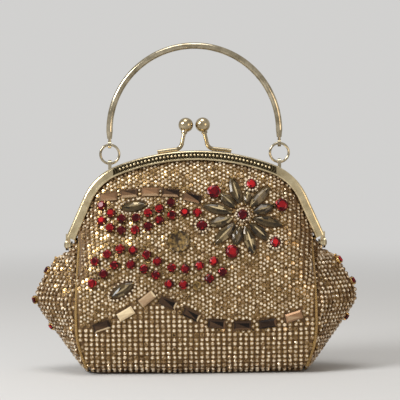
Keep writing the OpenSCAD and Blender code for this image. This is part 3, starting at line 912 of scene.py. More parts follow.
class Spread:
    """Crystals kept apart from each other, found again by the cell that they lie in."""

    def __init__(self, radius: float) -> None:
        """Starts empty, for crystals that take up this radius at size 1."""
        self.radius = radius
        self.cells: dict[tuple[int, ...], list[tuple[Vector, float]]] = {}

    def key(self, point: Vector) -> tuple[int, ...]:
        """Returns the cell of a point."""
        return tuple(math.floor(c / (2 * self.radius)) for c in point)

    def add(self, point: Vector, size: float) -> None:
        """Keeps a crystal of a size at a point."""
        self.cells.setdefault(self.key(point), []).append((point, size))

    def free(self, point: Vector, size: float) -> bool:
        """Tells whether a crystal has room beside those kept.

        Args:
            point: Place to try.
            size: Size of the crystal.

        Returns:
            True if the place is free.
        """
        i, j, k = self.key(point)
        around = ((i + a, j + b, k + c) for a in (-1, 0, 1) for b in (-1, 0, 1) for c in (-1, 0, 1))
        near = (kept for cell in around for kept in self.cells.get(cell, ()))
        return all((point - p).length >= self.radius * (size + s) for p, s in near)


@dataclass(frozen=True)
class SmallCrystal:
    """One small crystal in its gilt cup, on the z axis with the cloth at z = 0."""

    radius: float = 1.05 * MM
    height: float = 1.1 * MM
    sides: int = 8
    cup_shares: Span = (0.85, 1.14)
    cup_heights: Span = (-0.3 * MM, 0.5 * MM)
    girdle_share: float = 0.97
    girdle_heights: Span = (0.4 * MM, 0.62 * MM)
    girdle_turn: float = 0.39
    table_share: float = 0.66
    shade: float = 0.48

    def build(self, table: float) -> Template:
        """Makes the crystal.

        Args:
            table: Shade of the crystal's level top, a painted glint.

        Returns:
            The crystal.
        """
        foot, rim = self.cup_shares
        cup = frustum(self.sides, (foot * self.radius, rim * self.radius), self.cup_heights)
        girdle = (self.radius, self.girdle_share * self.radius)
        stone = frustum(self.sides, girdle, self.girdle_heights, self.girdle_turn)
        draw_in(stone, self.table_share, self.table_share, self.height - self.girdle_heights[1])
        return Template("crystal", [
            Facets(cup, Coat.CUP, shade=0.4, spread=0.1),
            Facets(stone, Coat.STONE, shade=self.shade, spread=0.22, table=table - self.shade),
        ])


@dataclass
class CrystalCloth:
    """The grids of small clear crystals on the pouch's cloth."""

    crystal: SmallCrystal = SmallCrystal()
    room: float = 1.12
    across: float = 3.0 * MM
    down: float = 2.53 * MM
    even_shade: float = 0.08
    even_stray: float = 0.08 * MM
    upper_across: float = 1.95 * MM
    upper_down: float = 2.25 * MM
    upper_stagger: float = 0.5
    upper_size: float = 0.92
    upper_shade: float = -0.06
    upper_stray: float = 0.15 * MM
    # The gussets' crystals are darker, as painted shade.
    side_painted_shade: float = -0.06
    side_stray: float = 0.1 * MM
    filler: float = 0.75 * MM
    filler_size: float = 0.64
    edge_size: float = 0.85
    edge_gaps: tuple[float, ...] = (1.9 * MM, 2.4 * MM, 2.9 * MM, 3.4 * MM)
    floor_room: float = 1.3 * MM
    # Shades of the crystals' level tops, which are painted glints; each crystal takes one at chance.
    tables: tuple[float, ...] = (0.6, 0.8, 0.92, 1.0)
    shade_spread: float = 0.11
    tilt: float = 0.13
    cloth: float = 1.6 * MM
    lift: float = 0.35 * MM
    hub: Span = (-8.0 * MM, 30.0 * MM)
    column_angles: Triple = (-80.0, 96.0, 0.75)
    column_least: int = 12
    passes: int = 40
    row_margins: Span = (1.5 * MM, 1.0 * MM)
    row_step: float = 0.5 * MM
    row_angles: Triple = (-88.0, 88.5, 1.0)
    row_least: int = 8
    row_lift: float = 0.05 * MM
    gusset_middle: float = 48.0 * MM
    gusset_edge: Triple = (0.7, 0.7, 0.0)
    outside: float = 100.0 * MM
    no_fold: float = 60.0 * MM
    rng: np.random.Generator = field(default_factory=lambda: np.random.default_rng(SEED))

    def column(self, tree: BVHTree, x: float) -> Optional[tuple[np.ndarray, np.ndarray]]:
        """Follows the panel's smooth outer face up one column.

        Args:
            tree: Surface of the CAD panel.
            x: Place of the column.

        Returns:
            Arc lengths from the height of the hub, and points, or None where the panel doesn't reach.
        """
        start = Vector((x, *self.hub))
        line = []
        angles = []
        for angle in np.arange(*self.column_angles):
            turn = math.radians(angle)
            way = Vector((0.0, -math.cos(turn), math.sin(turn)))
            hit, normal, _, _ = tree.ray_cast(start, way)
            if hit is None:
                continue
            if normal.dot(way) < 0:
                normal = -normal
            line.append(tuple(hit + normal * (self.cloth + self.lift)))
            angles.append(angle)
        if len(line) < self.column_least:
            return None
        points = np.array(line)
        for _ in range(self.passes):
            points[1:-1] = 0.5 * points[1:-1] + 0.25 * (points[:-2] + points[2:])
        arc = arc_lengths(points)
        return arc - np.interp(0.0, angles, arc), points

    def panel_lattice(self, node: str, across: float, down: float, stagger: float = 0.0) -> Lattice:
        """Lays a crystal grid on a panel.

        Args:
            node: The CAD panel.
            across: Distance between columns.
            down: Distance between rows.
            stagger: Shift of every second column, as a share of the distance between rows.

        Returns:
            Points by column and row.
        """
        tree = cad_surface(node)
        low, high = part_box(node)
        reach = int((high[0] - low[0]) / 2 / across)
        lattice = {}
        for column in range(-reach, reach + 1):
            found = self.column(tree, column * across)
            if found is None:
                continue
            arc, points = found
            offset = stagger * down * (column % 2)
            for row in range(math.ceil((arc[0] - offset) / down), math.floor((arc[-1] - offset) / down) + 1):
                lattice[column, row] = point_at(row * down + offset, arc, points)
        return lattice

    def gusset_lattice(self, node: str) -> Lattice:
        """Lays the even crystal grid on the right gusset.

        Args:
            node: The CAD gusset.

        Returns:
            Points by column and row, with column 0 on the fold.
        """
        tree = cad_surface(node)
        low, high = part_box(node)
        lattice = {}
        heights = np.arange(low[2] + self.row_margins[0], high[2] - self.row_margins[1], self.row_step)
        fold = np.array([self.fold_reach(tree, z) for z in heights])
        arc = arc_lengths(np.column_stack([fold, heights]))
        rows = np.arange(0.0, arc[-1], self.down)
        for row, height in enumerate(np.interp(rows, arc, heights)):
            line = []
            for angle in np.arange(*self.row_angles):
                turn = math.radians(angle)
                way = Vector((math.cos(turn), math.sin(turn), 0.0))
                start = Vector((self.gusset_middle, 0.0, height)) + self.outside * way
                hit = tree.ray_cast(start, -way)[0]
                if hit is not None:
                    line.append(tuple(hit + way * self.row_lift))
            if len(line) > self.row_least:
                self.gusset_row(lattice, np.array(line), row)
        return lattice

    def fold_reach(self, tree: BVHTree, height: float) -> float:
        """Returns how far the gusset's fold stands out at a height."""
        hit = tree.ray_cast(Vector((2 * self.outside, 0.0, height)), Vector((-1.0, 0.0, 0.0)))[0]
        return hit.x if hit is not None else self.no_fold

    def gusset_row(self, lattice: Lattice, line: np.ndarray, row: int) -> None:
        """Adds one row of the gusset's crystals.

        Args:
            lattice: Points by column and row, to add to.
            line: Points along the row.
            row: Number of the row.
        """
        arc = arc_lengths(line)
        arc -= np.interp(0.0, line[:, 1], arc)
        for column in range(math.ceil(arc[0] / self.across), math.floor(arc[-1] / self.across) + 1):
            place = column * self.across
            if np.min(np.abs(arc - place)) < self.across:
                lattice[column, row] = point_at(place, arc, line)

    def seats(self, lattice: Lattice, outward: Vector) -> list[Seat]:
        """Finds the normals of a lattice by its neighbours.

        Args:
            lattice: Points by column and row.
            outward: Rough outward direction.

        Returns:
            Points and unit normals.
        """
        found = []
        for (column, row), point in lattice.items():
            right = lattice.get((column + 1, row), point) - lattice.get((column - 1, row), point)
            up = lattice.get((column, row + 1), point) - lattice.get((column, row - 1), point)
            normal = right.cross(up)
            if normal.length < MERGE ** 2 or point.z <= self.floor_room:
                continue
            normal.normalize()
            if normal.dot(outward) < 0:
                normal.negate()
            found.append((point, normal))
        return found

    def placed(self, point: Vector, normal: Vector, stray: float, size: float) -> Matrix:
        """Places a crystal with a small chance tilt.

        Args:
            point: Place on the cloth.
            normal: Direction out of the cloth.
            stray: Chance distance from the grid.
            size: Size of the crystal against the even grid's.

        Returns:
            The placement.
        """
        tilt = Vector(self.rng.normal(0.0, self.tilt, 3))
        out = (normal + tilt).normalized()
        along = level_across(out)
        across = out.cross(along)
        spin = Matrix.Rotation(float(self.rng.uniform(0.0, math.tau)), 4, "Z")
        aside = along * float(self.rng.normal(0.0, stray)) + across * float(self.rng.normal(0.0, stray))
        turn = turn_to(along, across, out)
        return Matrix.Translation(point + aside) @ turn @ spin @ Matrix.Scale(size, 4)


@dataclass
class Pouch:
    """The crystal-set pouch with its lining and piping."""

    finishes: Finishes
    stones: list[Stone]
    cloth: CrystalCloth = field(default_factory=CrystalCloth)
    lip_room: float = 0.4 * MM
    lip_depth: float = 1.6 * MM
    longest: float = 6.0 * MM
    halvings: int = 2
    panel_passes: int = 3
    panel_width: float = 1.01
    tuck: float = 1.9 * MM
    tuck_span: Span = (56.0 * MM, 64.0 * MM)
    tuck_heights: tuple[float, ...] = (70.5 * MM, 74.0 * MM, 79.0 * MM, 88.0 * MM)
    seek: float = 4.0 * MM
    seat_lift: float = 0.1 * MM
    seat_slope: float = 0.5
    wave_top: float = 60.0 * MM
    strands: int = 3
    strand_sides: int = 6
    strand_radius: float = 0.5 * MM
    cord_lay: float = 3.6 * MM
    cord_stops: int = 16
    cord_window: float = 6.0 * MM
    cord_end: float = 2.2 * MM
    cord_step: float = 0.7 * MM
    soft: dict[str, BVHTree] = field(default_factory=dict)

    def soft_copy(self, node: str, material: Material, passes: int = 1, width: float = 1.0) -> Piece:
        """Makes a softened stand-in of a CAD cloth panel.

        Args:
            node: The CAD panel.
            material: Its finish.
            passes: Number of smoothing passes.
            width: Width against the panel's, more than 1 where its edges are sewn into a seam.

        Returns:
            The cloth, which replaces the panel.
        """
        shape = merged_copy(node)
        for _ in range(self.halvings):
            long_edges = [edge for edge in shape.edges if edge.calc_length() > self.longest]
            bmesh.ops.subdivide_edges(shape, edges=long_edges, cuts=1)
            bmesh.ops.triangulate(shape, faces=shape.faces[:])
        for _ in range(passes):
            bmesh.ops.smooth_vert(
                shape, verts=shape.verts[:], factor=0.5, use_axis_x=False, use_axis_y=True, use_axis_z=True)
        bmesh.ops.scale(shape, verts=shape.verts[:], vec=(width, 1.0, 1.0))
        if width > 1.0:
            self.tuck_in(shape)
        made = stand_in(node, "_cloth", shape, material, smooth=True)
        self.soft[node] = surface_of(made.data)
        return made

    def tuck_in(self, shape: Shape) -> None:
        """Widens a panel where its sides pass into the frame's legs, so that no slit is left there.

        Args:
            shape: Working mesh of the panel.
        """
        for vertex in shape.verts:
            height = np.interp(vertex.co.z, self.tuck_heights, (0.0, 1.0, 1.0, 0.0))
            aside = np.interp(abs(vertex.co.x), self.tuck_span, (0.0, 1.0))
            vertex.co.x += math.copysign(self.tuck * height * aside, vertex.co.x)

    def on_cloth(self, node: str, point: Vector, normal: Vector) -> Vector:
        """Moves a crystal's place onto the softened cloth.

        Args:
            node: The CAD panel or gusset whose softened copy carries the crystal.
            point: Place near the cloth.
            normal: Direction out of the cloth.

        Returns:
            The place on the cloth, or the point itself where there is no cloth under it.
        """
        hit = self.soft[node].ray_cast(point + normal * self.seek, -normal, 2 * self.seek)[0]
        return point if hit is None else hit + normal * self.seat_lift

    def clear_of_frame(self, point: Vector, tree: BVHTree) -> bool:
        """Tells whether a crystal on the front is beside the frame's lip or well in front of it.

        Args:
            point: Place of the crystal.
            tree: Surface of the front frame.

        Returns:
            True if there is room for the crystal.
        """
        for dx, dz in ((0, 0), (self.lip_room, 0), (-self.lip_room, 0), (0, self.lip_room)):
            start = Vector((point.x + dx, -2 * self.cloth.outside, point.z + dz))
            hit = tree.ray_cast(start, Vector((0.0, 1.0, 0.0)))[0]
            if hit is not None and hit.y < point.y + self.lip_depth:
                return False
        return True

    def seam_seats(self, node: str, piping: str, way: Vector) -> list[Seat]:
        """Finds places for crystals close beside a seam's cord.

        Args:
            node: The CAD panel or gusset.
            piping: The CAD piping along the seam.
            way: Direction from the cord onto the cloth.

        Returns:
            Points and unit normals.
        """
        tree = cad_surface(node)
        line, _ = self.cord_line(piping)
        found = []
        for gap in self.cloth.edge_gaps:
            for point in line:
                place, normal, _, _ = tree.find_nearest(Vector(point) + way * gap)
                if place.z > self.cloth.floor_room and max(abs(normal.x), abs(normal.y)) > self.seat_slope:
                    found.append((place + normal * self.seat_lift, normal))
        return found

    def wave(self) -> tuple[np.ndarray, np.ndarray]:
        """Follows the lower wave of bar stones, which parts the two crystal grids.

        Returns:
            Places and heights of the bars.
        """
        bars = [s.centre for s in self.stones if s.cut is Cut.BAR and s.centre.z < self.wave_top]
        bars.sort(key=lambda centre: centre.x)
        return np.array([bar.x for bar in bars]), np.array([bar.z for bar in bars])

    def panel_seats(self) -> dict[Side, list[Setting]]:
        """Lays out the front and the back.

        The front has an even grid below the wave of bars, a closer one above it and small crystals between.
        The back has the even grid. Where the panels turn away to the sides, more crystals fill the rows.

        Returns:
            Points, normals, chance distances and sizes for each side.
        """
        node = "front_panel"
        outward = Vector((0.0, -1.0, 0.0))
        frame = cad_surface("frame_front")
        cloth = self.cloth
        even = cloth.seats(cloth.panel_lattice(node, cloth.across, cloth.down), outward)
        staggered = cloth.panel_lattice(node, cloth.upper_across, cloth.upper_down, cloth.upper_stagger)
        close = cloth.seats(staggered, outward)
        filler = cloth.seats(cloth.panel_lattice(node, cloth.filler, cloth.filler), outward)
        for piping, way in (("piping_front_left", 1.0), ("piping_front_right", -1.0)):
            filler += self.seam_seats(node, piping, Vector((way, 0.0, 0.0)))
        layers = (
            (even, True, 1.0, cloth.even_stray), (close, False, cloth.upper_size, cloth.upper_stray),
            (filler, True, cloth.edge_size, 0.0), (filler, False, cloth.filler_size, 0.0),
        )
        places, heights = self.wave()
        found = {}
        for side in (Side.FRONT, Side.BACK):
            spread = Spread(cloth.room * cloth.crystal.radius)
            flip = Vector((1.0, 1.0 if side is Side.FRONT else -1.0, 1.0))
            found[side] = []
            for seats, low, size, stray in layers:
                for point, normal in seats:
                    below = side is Side.BACK or point.z < np.interp(point.x, places, heights)
                    if below != low or not spread.free(point, size) or not self.clear_of_frame(point, frame):
                        continue
                    if side is Side.FRONT and any(s.covers(point, size) for s in self.stones):
                        continue
                    spread.add(point, size)
                    seat = self.on_cloth(node, point, normal)
                    found[side].append((seat * flip, normal * flip, stray, size))
        return found

    def side_seats(self, side: Side) -> list[Setting]:
        """Lays out one gusset.

        Args:
            side: Left or right.

        Returns:
            Points, normals, chance distances and sizes.
        """
        node = "gusset_right"
        cloth = self.cloth
        flip = Vector((1.0 if side is Side.RIGHT else -1.0, 1.0, 1.0))
        even = cloth.seats(cloth.gusset_lattice(node), Vector((1.0, 0.0, 0.0)))
        edge = self.seam_seats(node, "piping_front_right", Vector(cloth.gusset_edge))
        back = Vector((1.0, -1.0, 1.0))
        edge += [(point * back, normal * back) for point, normal in edge]
        spread = Spread(cloth.room * cloth.crystal.radius)
        found = []
        for seats, size, stray in ((even, 1.0, cloth.side_stray), (edge, cloth.edge_size, 0.0)):
            for point, normal in seats:
                if seats is edge and not spread.free(point, size):
                    continue
                if any(s.covers(point * flip, size) for s in self.stones):
                    continue
                spread.add(point, size)
                seat = self.on_cloth(node, point, normal)
                found.append((seat * flip, normal * flip, stray, size))
        return found

    def crystals(self) -> dict[str, Piece]:
        """Sets the crystals of all four sides.

        Returns:
            One piece for each side, by name.
        """
        cloth = self.cloth
        seats = self.panel_seats()
        for side in (Side.LEFT, Side.RIGHT):
            seats[side] = self.side_seats(side)
        templates = [cloth.crystal.build(table) for table in cloth.tables]
        made = {}
        for side, found in seats.items():
            items = []
            for point, normal, stray, size in found:
                template = templates[int(cloth.rng.integers(len(templates)))]
                shade = cloth.even_shade if size == 1.0 else cloth.upper_shade
                # Painted shade: the gussets' crystals are darker.
                if side in (Side.LEFT, Side.RIGHT):
                    shade = cloth.side_painted_shade
                change = float(cloth.rng.normal(shade, cloth.shade_spread))
                items.append((template, cloth.placed(point, normal, stray, size), change))
            name = "crystals_" + side.value
            made[name] = scatter(name, items, cloth.rng, self.finishes.crystal, self.finishes.cup)
            LOG.info("crystals %s: %d", side.value, len(items))
        return made

    def cord_line(self, node: str) -> tuple[np.ndarray, np.ndarray]:
        """Follows the middle of a CAD piping.

        Args:
            node: The CAD piping.

        Returns:
            Points along its middle and their arc lengths.
        """
        shape = merged_copy(node)
        points = np.array([tuple(v.co) for v in shape.verts])
        shape.free()
        heights = points[:, 2]
        stops = np.linspace(heights.min(), heights.max(), self.cord_stops)
        foot = points[heights < stops[0] + self.cord_end].mean(axis=0)
        middle = [points[np.abs(heights - z) < self.cord_window].mean(axis=0) for z in stops[1:-1]]
        head = points[heights > stops[-1] - self.cord_end].mean(axis=0)
        path = np.array([foot, *middle, head])
        arc = arc_lengths(path)
        steps = np.arange(0.0, arc[-1], self.cord_step)
        return np.array([tuple(point_at(step, arc, path)) for step in steps]), steps

    def cord(self, node: str) -> Piece:
        """Lays a twisted gold cord along a CAD piping.

        Args:
            node: The CAD piping.

        Returns:
            The cord, which replaces the piping.
        """
        line, steps = self.cord_line(node)
        shape = bmesh.new()
        for strand in range(self.strands):
            self.strand(shape, line, steps, math.tau * strand / self.strands)
        return stand_in(node, "_cord", shape, self.finishes.cord, smooth=True)

    def strand(self, shape: Shape, line: np.ndarray, steps: np.ndarray, phase: float) -> None:
        """Winds one strand of a cord by extruding a small circle along a helix.

        Args:
            shape: Working mesh to add to.
            line: Points along the cord's middle.
            steps: Their arc lengths.
            phase: Turn of the strand about the cord, in radians.
        """
        ring = bmesh.ops.create_circle(
            shape, cap_ends=False, segments=self.strand_sides, radius=self.strand_radius)["verts"]
        edges = list(dict.fromkeys(edge for vertex in ring for edge in vertex.link_edges))
        place = Vector((0.0, 0.0, 0.0))
        for point, step in zip(line, steps):
            turn = phase + math.tau * step / self.cord_lay
            target = Vector(point) + Vector((math.cos(turn), math.sin(turn), 0.0)) * self.strand_radius
            if step > 0:
                made = bmesh.ops.extrude_edge_only(shape, edges=edges)["geom"]
                ring = [v for v in made if isinstance(v, bmesh.types.BMVert)]
                new_edges = [e for e in made if isinstance(e, bmesh.types.BMEdge)]
                edges = [edge for edge in new_edges if all(v in ring for v in edge.verts)]
            bmesh.ops.translate(shape, verts=ring, vec=target - place)
            place = target

    def build(self) -> dict[str, Piece]:
        """Builds the pouch's cloth, lining, piping and crystals.

        Returns:
            The pieces by name.
        """
        made = {}
        for node in ("front_panel", "back_panel"):
            made[node] = self.soft_copy(node, self.finishes.ground, self.panel_passes, self.panel_width)
        for node in ("gusset_left", "gusset_right", "base_panel"):
            made[node] = self.soft_copy(node, self.finishes.ground)
        for node in ("lining_front", "lining_back", "lining_gusset_left", "lining_gusset_right"):
            made[node] = self.soft_copy(node, self.finishes.satin)
        for node in ("piping_front_left", "piping_front_right", "piping_back_left", "piping_back_right"):
            made[node] = self.cord(node)
        return {**made, **self.crystals()}


@dataclass
class StoneWork:
    """The larger stones of the motif and their settings."""

    finishes: Finishes
    halo_room: float = 2.3 * MM
    empty_room: float = 0.2 * MM
    fold_sink: float = 1.0 * MM
    fold_root: float = 2.4 * MM
    petal_reach: float = 23.0 * MM
    petal_width: float = 1.2
    petal_step: float = 0.25 * MM
    petal_gap: float = 0.5 * MM
    petal_room: float = 0.3
    round_size: float = 1.2
    round_sides: int = 10
    round_foot: float = 0.84
    round_girdle: float = 0.35
    round_tiers: tuple[Span, ...] = ((0.8, 0.35), (0.68, 0.3))
    round_claws: int = 4
    round_claw_radii: Span = (0.5 * MM, 0.3 * MM)
    round_claw_foot: float = -0.9 * MM
    round_claw_share: float = 0.62
    bar_bevel: float = 0.95 * MM
    bar_girdle: float = 1.1
    pointed_sides: int = 12
    pointed_girdle: float = 0.7
    pointed_tiers: tuple[Triple, ...] = ((0.8, 0.62, 0.75), (0.7, 0.26, 0.5))
    pointed_claw_radii: Span = (0.55 * MM, 0.35 * MM)
    pointed_claw_foot: float = -0.3 * MM
    pointed_claw_share: float = 1.2
    pointed_claw_place: float = 0.95
    claw_sides: int = 5
    tiny_radius: float = 0.75 * MM
    tiny_sides: int = 7
    tiny_heights: Span = (-0.9 * MM, 0.3 * MM)
    tiny_shares: Span = (0.9, 0.6)
    tiny_rise: float = 0.4 * MM
    halo_gap: float = 1.25 * MM
    halo_count: int = 13
    leaf_gap: float = 0.9 * MM
    leaf_count: int = 20
    shade_spread: float = 0.08
    settings: tuple[str, ...] = (
        "ruby_settings", "big_ruby_settings", "halo_settings", "empty_settings", "gusset_settings",
    )
    # Painted reflections of the bar stones, one for each in their order: the tone of its table, the split of
    # its halves and its lit bevels.
    bar_reflections: tuple[BarReflection, ...] = (
        BarReflection(0.05, 0.04, lower=1.2), BarReflection(0.38, 0.06, lower=0.3), BarReflection(0.9),
        BarReflection(0.16, 0.12, lower=0.8), BarReflection(0.6, right=0.5), BarReflection(0.4, 0.06, lower=0.3),
        BarReflection(0.08, 0.06, right=1.2), BarReflection(0.06, 0.05, lower=0.8), BarReflection(0.06, 0.05, right=1.2),
        BarReflection(0.07, 0.06, lower=0.7), BarReflection(0.06, 0.05, right=0.3), BarReflection(0.05, 0.04, lower=0.3),
        BarReflection(0.06, 0.05, right=0.4), BarReflection(0.5, 0.08, lower=0.1),
    )
    rng: np.random.Generator = field(default_factory=lambda: np.random.default_rng(SEED + 1))

    def read(self) -> dict[str, list[Stone]]:
        """Reads the CAD stones and the empty settings, with the room that each takes on the cloth.

        Returns:
            The stones by node.
        """
        cuts = {
            "ruby_stones": Cut.ROUND, "big_ruby_stones": Cut.ROUND, "halo_stones": Cut.ROUND,
            "gusset_stones": Cut.ROUND, "flower_petals": Cut.POINTED, "leaf_stones": Cut.POINTED,
            "bar_stones": Cut.BAR, "empty_settings": Cut.ROUND,
        }
        found = {node: stones_of(node, cut) for node, cut in cuts.items()}
        for stone in found["halo_stones"] + found["leaf_stones"]:
            stone.room = self.halo_room
        for stone in found["empty_settings"]:
            stone.room = self.empty_room
        for stone in found["gusset_stones"]:
            stone.centre -= stone.out * self.fold_sink
        petals = found["flower_petals"]
        middle = sum((petal.centre for petal in petals), Vector()) / len(petals)
        hub = min(found["halo_stones"], key=lambda s: (s.centre - middle).length).centre
        others = [stone for node, group in found.items() if node != "flower_petals" for stone in group]
        for petal in petals:
            self.grow(petal, hub, others)
        return found

    def grow(self, petal: Stone, hub: Vector, others: list[Stone]) -> None:
        """Lengthens a petal outward until it would meet another stone, and widens it.

        Args:
            petal: The petal, which is changed.
            hub: Middle of the flower.
            others: All stones but the petals.
        """
        out = petal.along if petal.along.dot(petal.centre - hub) > 0 else -petal.along
        inner = petal.centre - out * petal.half[0]
        length = 2 * petal.half[0]
        reach = self.petal_reach - (inner - hub).length
        while length < reach:
            tip = inner + out * (length + self.petal_gap)
            if any(s.covers(tip, self.petal_room) for s in others):
                break
            length += self.petal_step
        petal.centre = inner + out * length / 2
        petal.half = (length / 2, self.petal_width * petal.half[1], petal.half[2])

    def claw(self, radii: Span, heights: Span, x: float, y: float) -> Facets:
        """Makes one claw of a setting.

        Args:
            radii: Radii at its foot and its tip.
            heights: Heights of its foot and its tip.
            x: Place along the stone.
            y: Place across the stone.

        Returns:
            The claw.
        """
        shape = frustum(self.claw_sides, radii, heights)
        shift(shape, x, y, 0.0)
        return Facets(shape, Coat.CUP, shade=0.5, spread=0.1)

    def round_cut(self, stone: Stone) -> list[Facets]:
        """Cuts a round stone with its claws, with z = 0 at its seat.

        Args:
            stone: The CAD stone.

        Returns:
            The stone and its claws.
        """
        radius = self.round_size * stone.half[0]
        height = 2 * stone.half[2]
        girdle = (self.round_foot * radius, radius)
        body = frustum(self.round_sides, girdle, (0.0, self.round_girdle * height))
        for share, rise in self.round_tiers:
            draw_in(body, share, share, rise * height, math.pi / self.round_sides)
        # The table gets a slight painted glint.
        parts = [Facets(body, Coat.STONE, shade=0.42, spread=0.24, table=0.08)]
        heights = (self.round_claw_foot, self.round_claw_share * height)
        for number in range(self.round_claws):
            turn = math.tau * (number + 0.5) / self.round_claws
            place = (radius * math.cos(turn), radius * math.sin(turn))
            parts.append(self.claw(self.round_claw_radii, heights, *place))
        return parts

    def bar_cut(self, stone: Stone) -> list[Facets]:
        """Cuts a bar stone with bevelled edges and a table in two halves, which take painted reflections of
        different shade.

        Args:
            stone: The CAD stone.

        Returns:
            The stone.
        """
        along, across, rise = stone.half
        height = self.bar_girdle * rise
        shape = bmesh.new()
        bmesh.ops.create_cube(shape, size=1.0)
        bmesh.ops.scale(shape, verts=shape.verts[:], vec=(2 * along, 2 * across, height))
        shift(shape, 0.0, 0.0, height / 2)
        draw_in(shape, 1.0 - self.bar_bevel / along, 1.0 - self.bar_bevel / across, 2 * rise - height)
        table = max(shape.faces, key=lambda f: f.calc_center_median().z)
        bmesh.ops.triangulate(shape, faces=[table])
        return [Facets(shape, Coat.STONE, shade=0.0, spread=0.04)]

    def pointed_cut(self, stone: Stone) -> list[Facets]:
        """Cuts a pointed oval stone with a ridge along it and a claw at each tip.

        Args:
            stone: The CAD stone.

        Returns:
            The stone and its claws.
        """
        along, across, rise = stone.half
        shape = frustum(self.pointed_sides, (1.0, 1.0), (0.0, self.pointed_girdle * rise))
        for vertex in shape.verts:
            x = vertex.co.x
            vertex.co.x = x * along
            vertex.co.y = math.copysign(1.0 - x * x, vertex.co.y) * across
        bmesh.ops.remove_doubles(shape, verts=shape.verts[:], dist=MERGE)
        for length, width, tier in self.pointed_tiers:
            draw_in(shape, length, width, tier * rise)
        # The ridge along the top gets a painted highlight.
        parts = [Facets(shape, Coat.STONE, shade=0.3, spread=0.2, table=0.3)]
        heights = (self.pointed_claw_foot, self.pointed_claw_share * rise)
        for end in (-1, 1):
            tip = end * self.pointed_claw_place * along
            parts.append(self.claw(self.pointed_claw_radii, heights, tip, 0.0))
        return parts

    def ring(self, stone: Stone, gap: float, count: int) -> list[Facets]:
        """Sets a ring of tiny crystals round a stone.

        Args:
            stone: The stone inside the ring.
            gap: Distance of the crystals' middles from the stone's edge.
            count: Number of crystals.

        Returns:
            The crystals.
        """
        girdle, table = self.tiny_shares
        parts = []
        for number in range(count):
            turn = math.tau * number / count
            tiny = frustum(self.tiny_sides, (self.tiny_radius, girdle * self.tiny_radius), self.tiny_heights)
            draw_in(tiny, table, table, self.tiny_rise)
            shift(tiny, (stone.half[0] + gap) * math.cos(turn), (stone.half[1] + gap) * math.sin(turn), 0.0)
            # Each tiny crystal's top gets a painted glint.
            parts.append(Facets(tiny, Coat.HALO, shade=0.85, spread=0.15, table=0.15))
        return parts

    def cut_stones(self, node: str, stones: list[Stone]) -> list[Item]:
        """Cuts all stones of a node.

        Args:
            node: The CAD node.
            stones: Its stones.

        Returns:
            Template, placement and change of shade of each stone.
        """
        maker = {Cut.ROUND: self.round_cut, Cut.BAR: self.bar_cut, Cut.POINTED: self.pointed_cut}
        rings = {
            "halo_stones": (self.halo_gap, self.halo_count),
            "leaf_stones": (self.leaf_gap, self.leaf_count),
        }
        items = []
        for number, stone in enumerate(stones):
            parts = maker[stone.cut](stone)
            if node in rings:
                parts += self.ring(stone, *rings[node])
            change = float(self.rng.normal(0.0, self.shade_spread))
            # A bar takes its painted reflections in place of a chance change of shade.
            if stone.cut is Cut.BAR:
                parts[0].foil = self.bar_reflections[number]
                change = self.bar_reflections[number].tone
            items.append((Template(node, parts), stone.matrix(), change))
        return items

    def build(self, stones: dict[str, list[Stone]]) -> dict[str, Piece]:
        """Builds the cut stones and their settings, which replace the CAD's plain ones.

        Args:
            stones: CAD stones by node.

        Returns:
            The pieces by node.
        """
        looks = self.finishes
        groups = {
            looks.red: ("ruby_stones", "big_ruby_stones", "halo_stones", "gusset_stones"),
            looks.smoke: ("flower_petals", "leaf_stones"),
            looks.bronze: ("bar_stones",),
        }
        made = {}
        for material, nodes in groups.items():
            for node in nodes:
                items = self.cut_stones(node, stones[node])
                made[node] = scatter(node + "_cut", items, self.rng, material, looks.cup, looks.crystal)
                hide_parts(node)
        for node in self.settings:
            shape = merged_copy(node)
            if node == "gusset_settings":
                self.root(shape, stones_of(node, Cut.ROUND))
            material = looks.foil if node == "empty_settings" else looks.cup
            made[node] = stand_in(node, "_gilt", shape, material)
        return made

    def root(self, shape: Shape, cups: list[Stone]) -> None:
        """Sets cups down on the cloth, which dips between the CAD's ridges, with their feet in it.

        Args:
            shape: Working mesh of the cups.
            cups: Measures of each cup.
        """
        for vertex in shape.verts:
            cup = min(cups, key=lambda c: (vertex.co - c.centre).length)
            foot = cup.out.dot(vertex.co - cup.centre) < 0
            vertex.co -= cup.out * (self.fold_root if foot else self.fold_sink)


@dataclass(frozen=True)
class Metalwork:
    """The gilt frame, clasp and handle, which keep their CAD shapes, and the board over the base."""

    finishes: Finishes
    clasp: tuple[str, ...] = (
        "hinge_pin_left", "hinge_pin_right", "clasp_arm_front", "clasp_ball_front", "clasp_arm_back",
        "clasp_ball_back",
    )
    handle: tuple[str, ...] = (
        "ring_lug_left", "ring_lug_right", "ring_left", "ring_right", "handle_tube", "handle_eye_left",
        "handle_eye_right",
    )
    frame: tuple[str, ...] = ("frame_front", "frame_back")
    board: tuple[str, ...] = ("base_board",)

    def build(self) -> None:
        """Gives the nodes their finishes."""
        looks = self.finishes
        for nodes, material in (
                (self.clasp, looks.gilt), (self.handle, looks.pale), (self.frame, looks.band),
                (self.board, looks.satin)):
            for node in nodes:
                piece = FRAME["nodes"][node]
                piece.data.materials.clear()
                piece.data.materials.append(material)


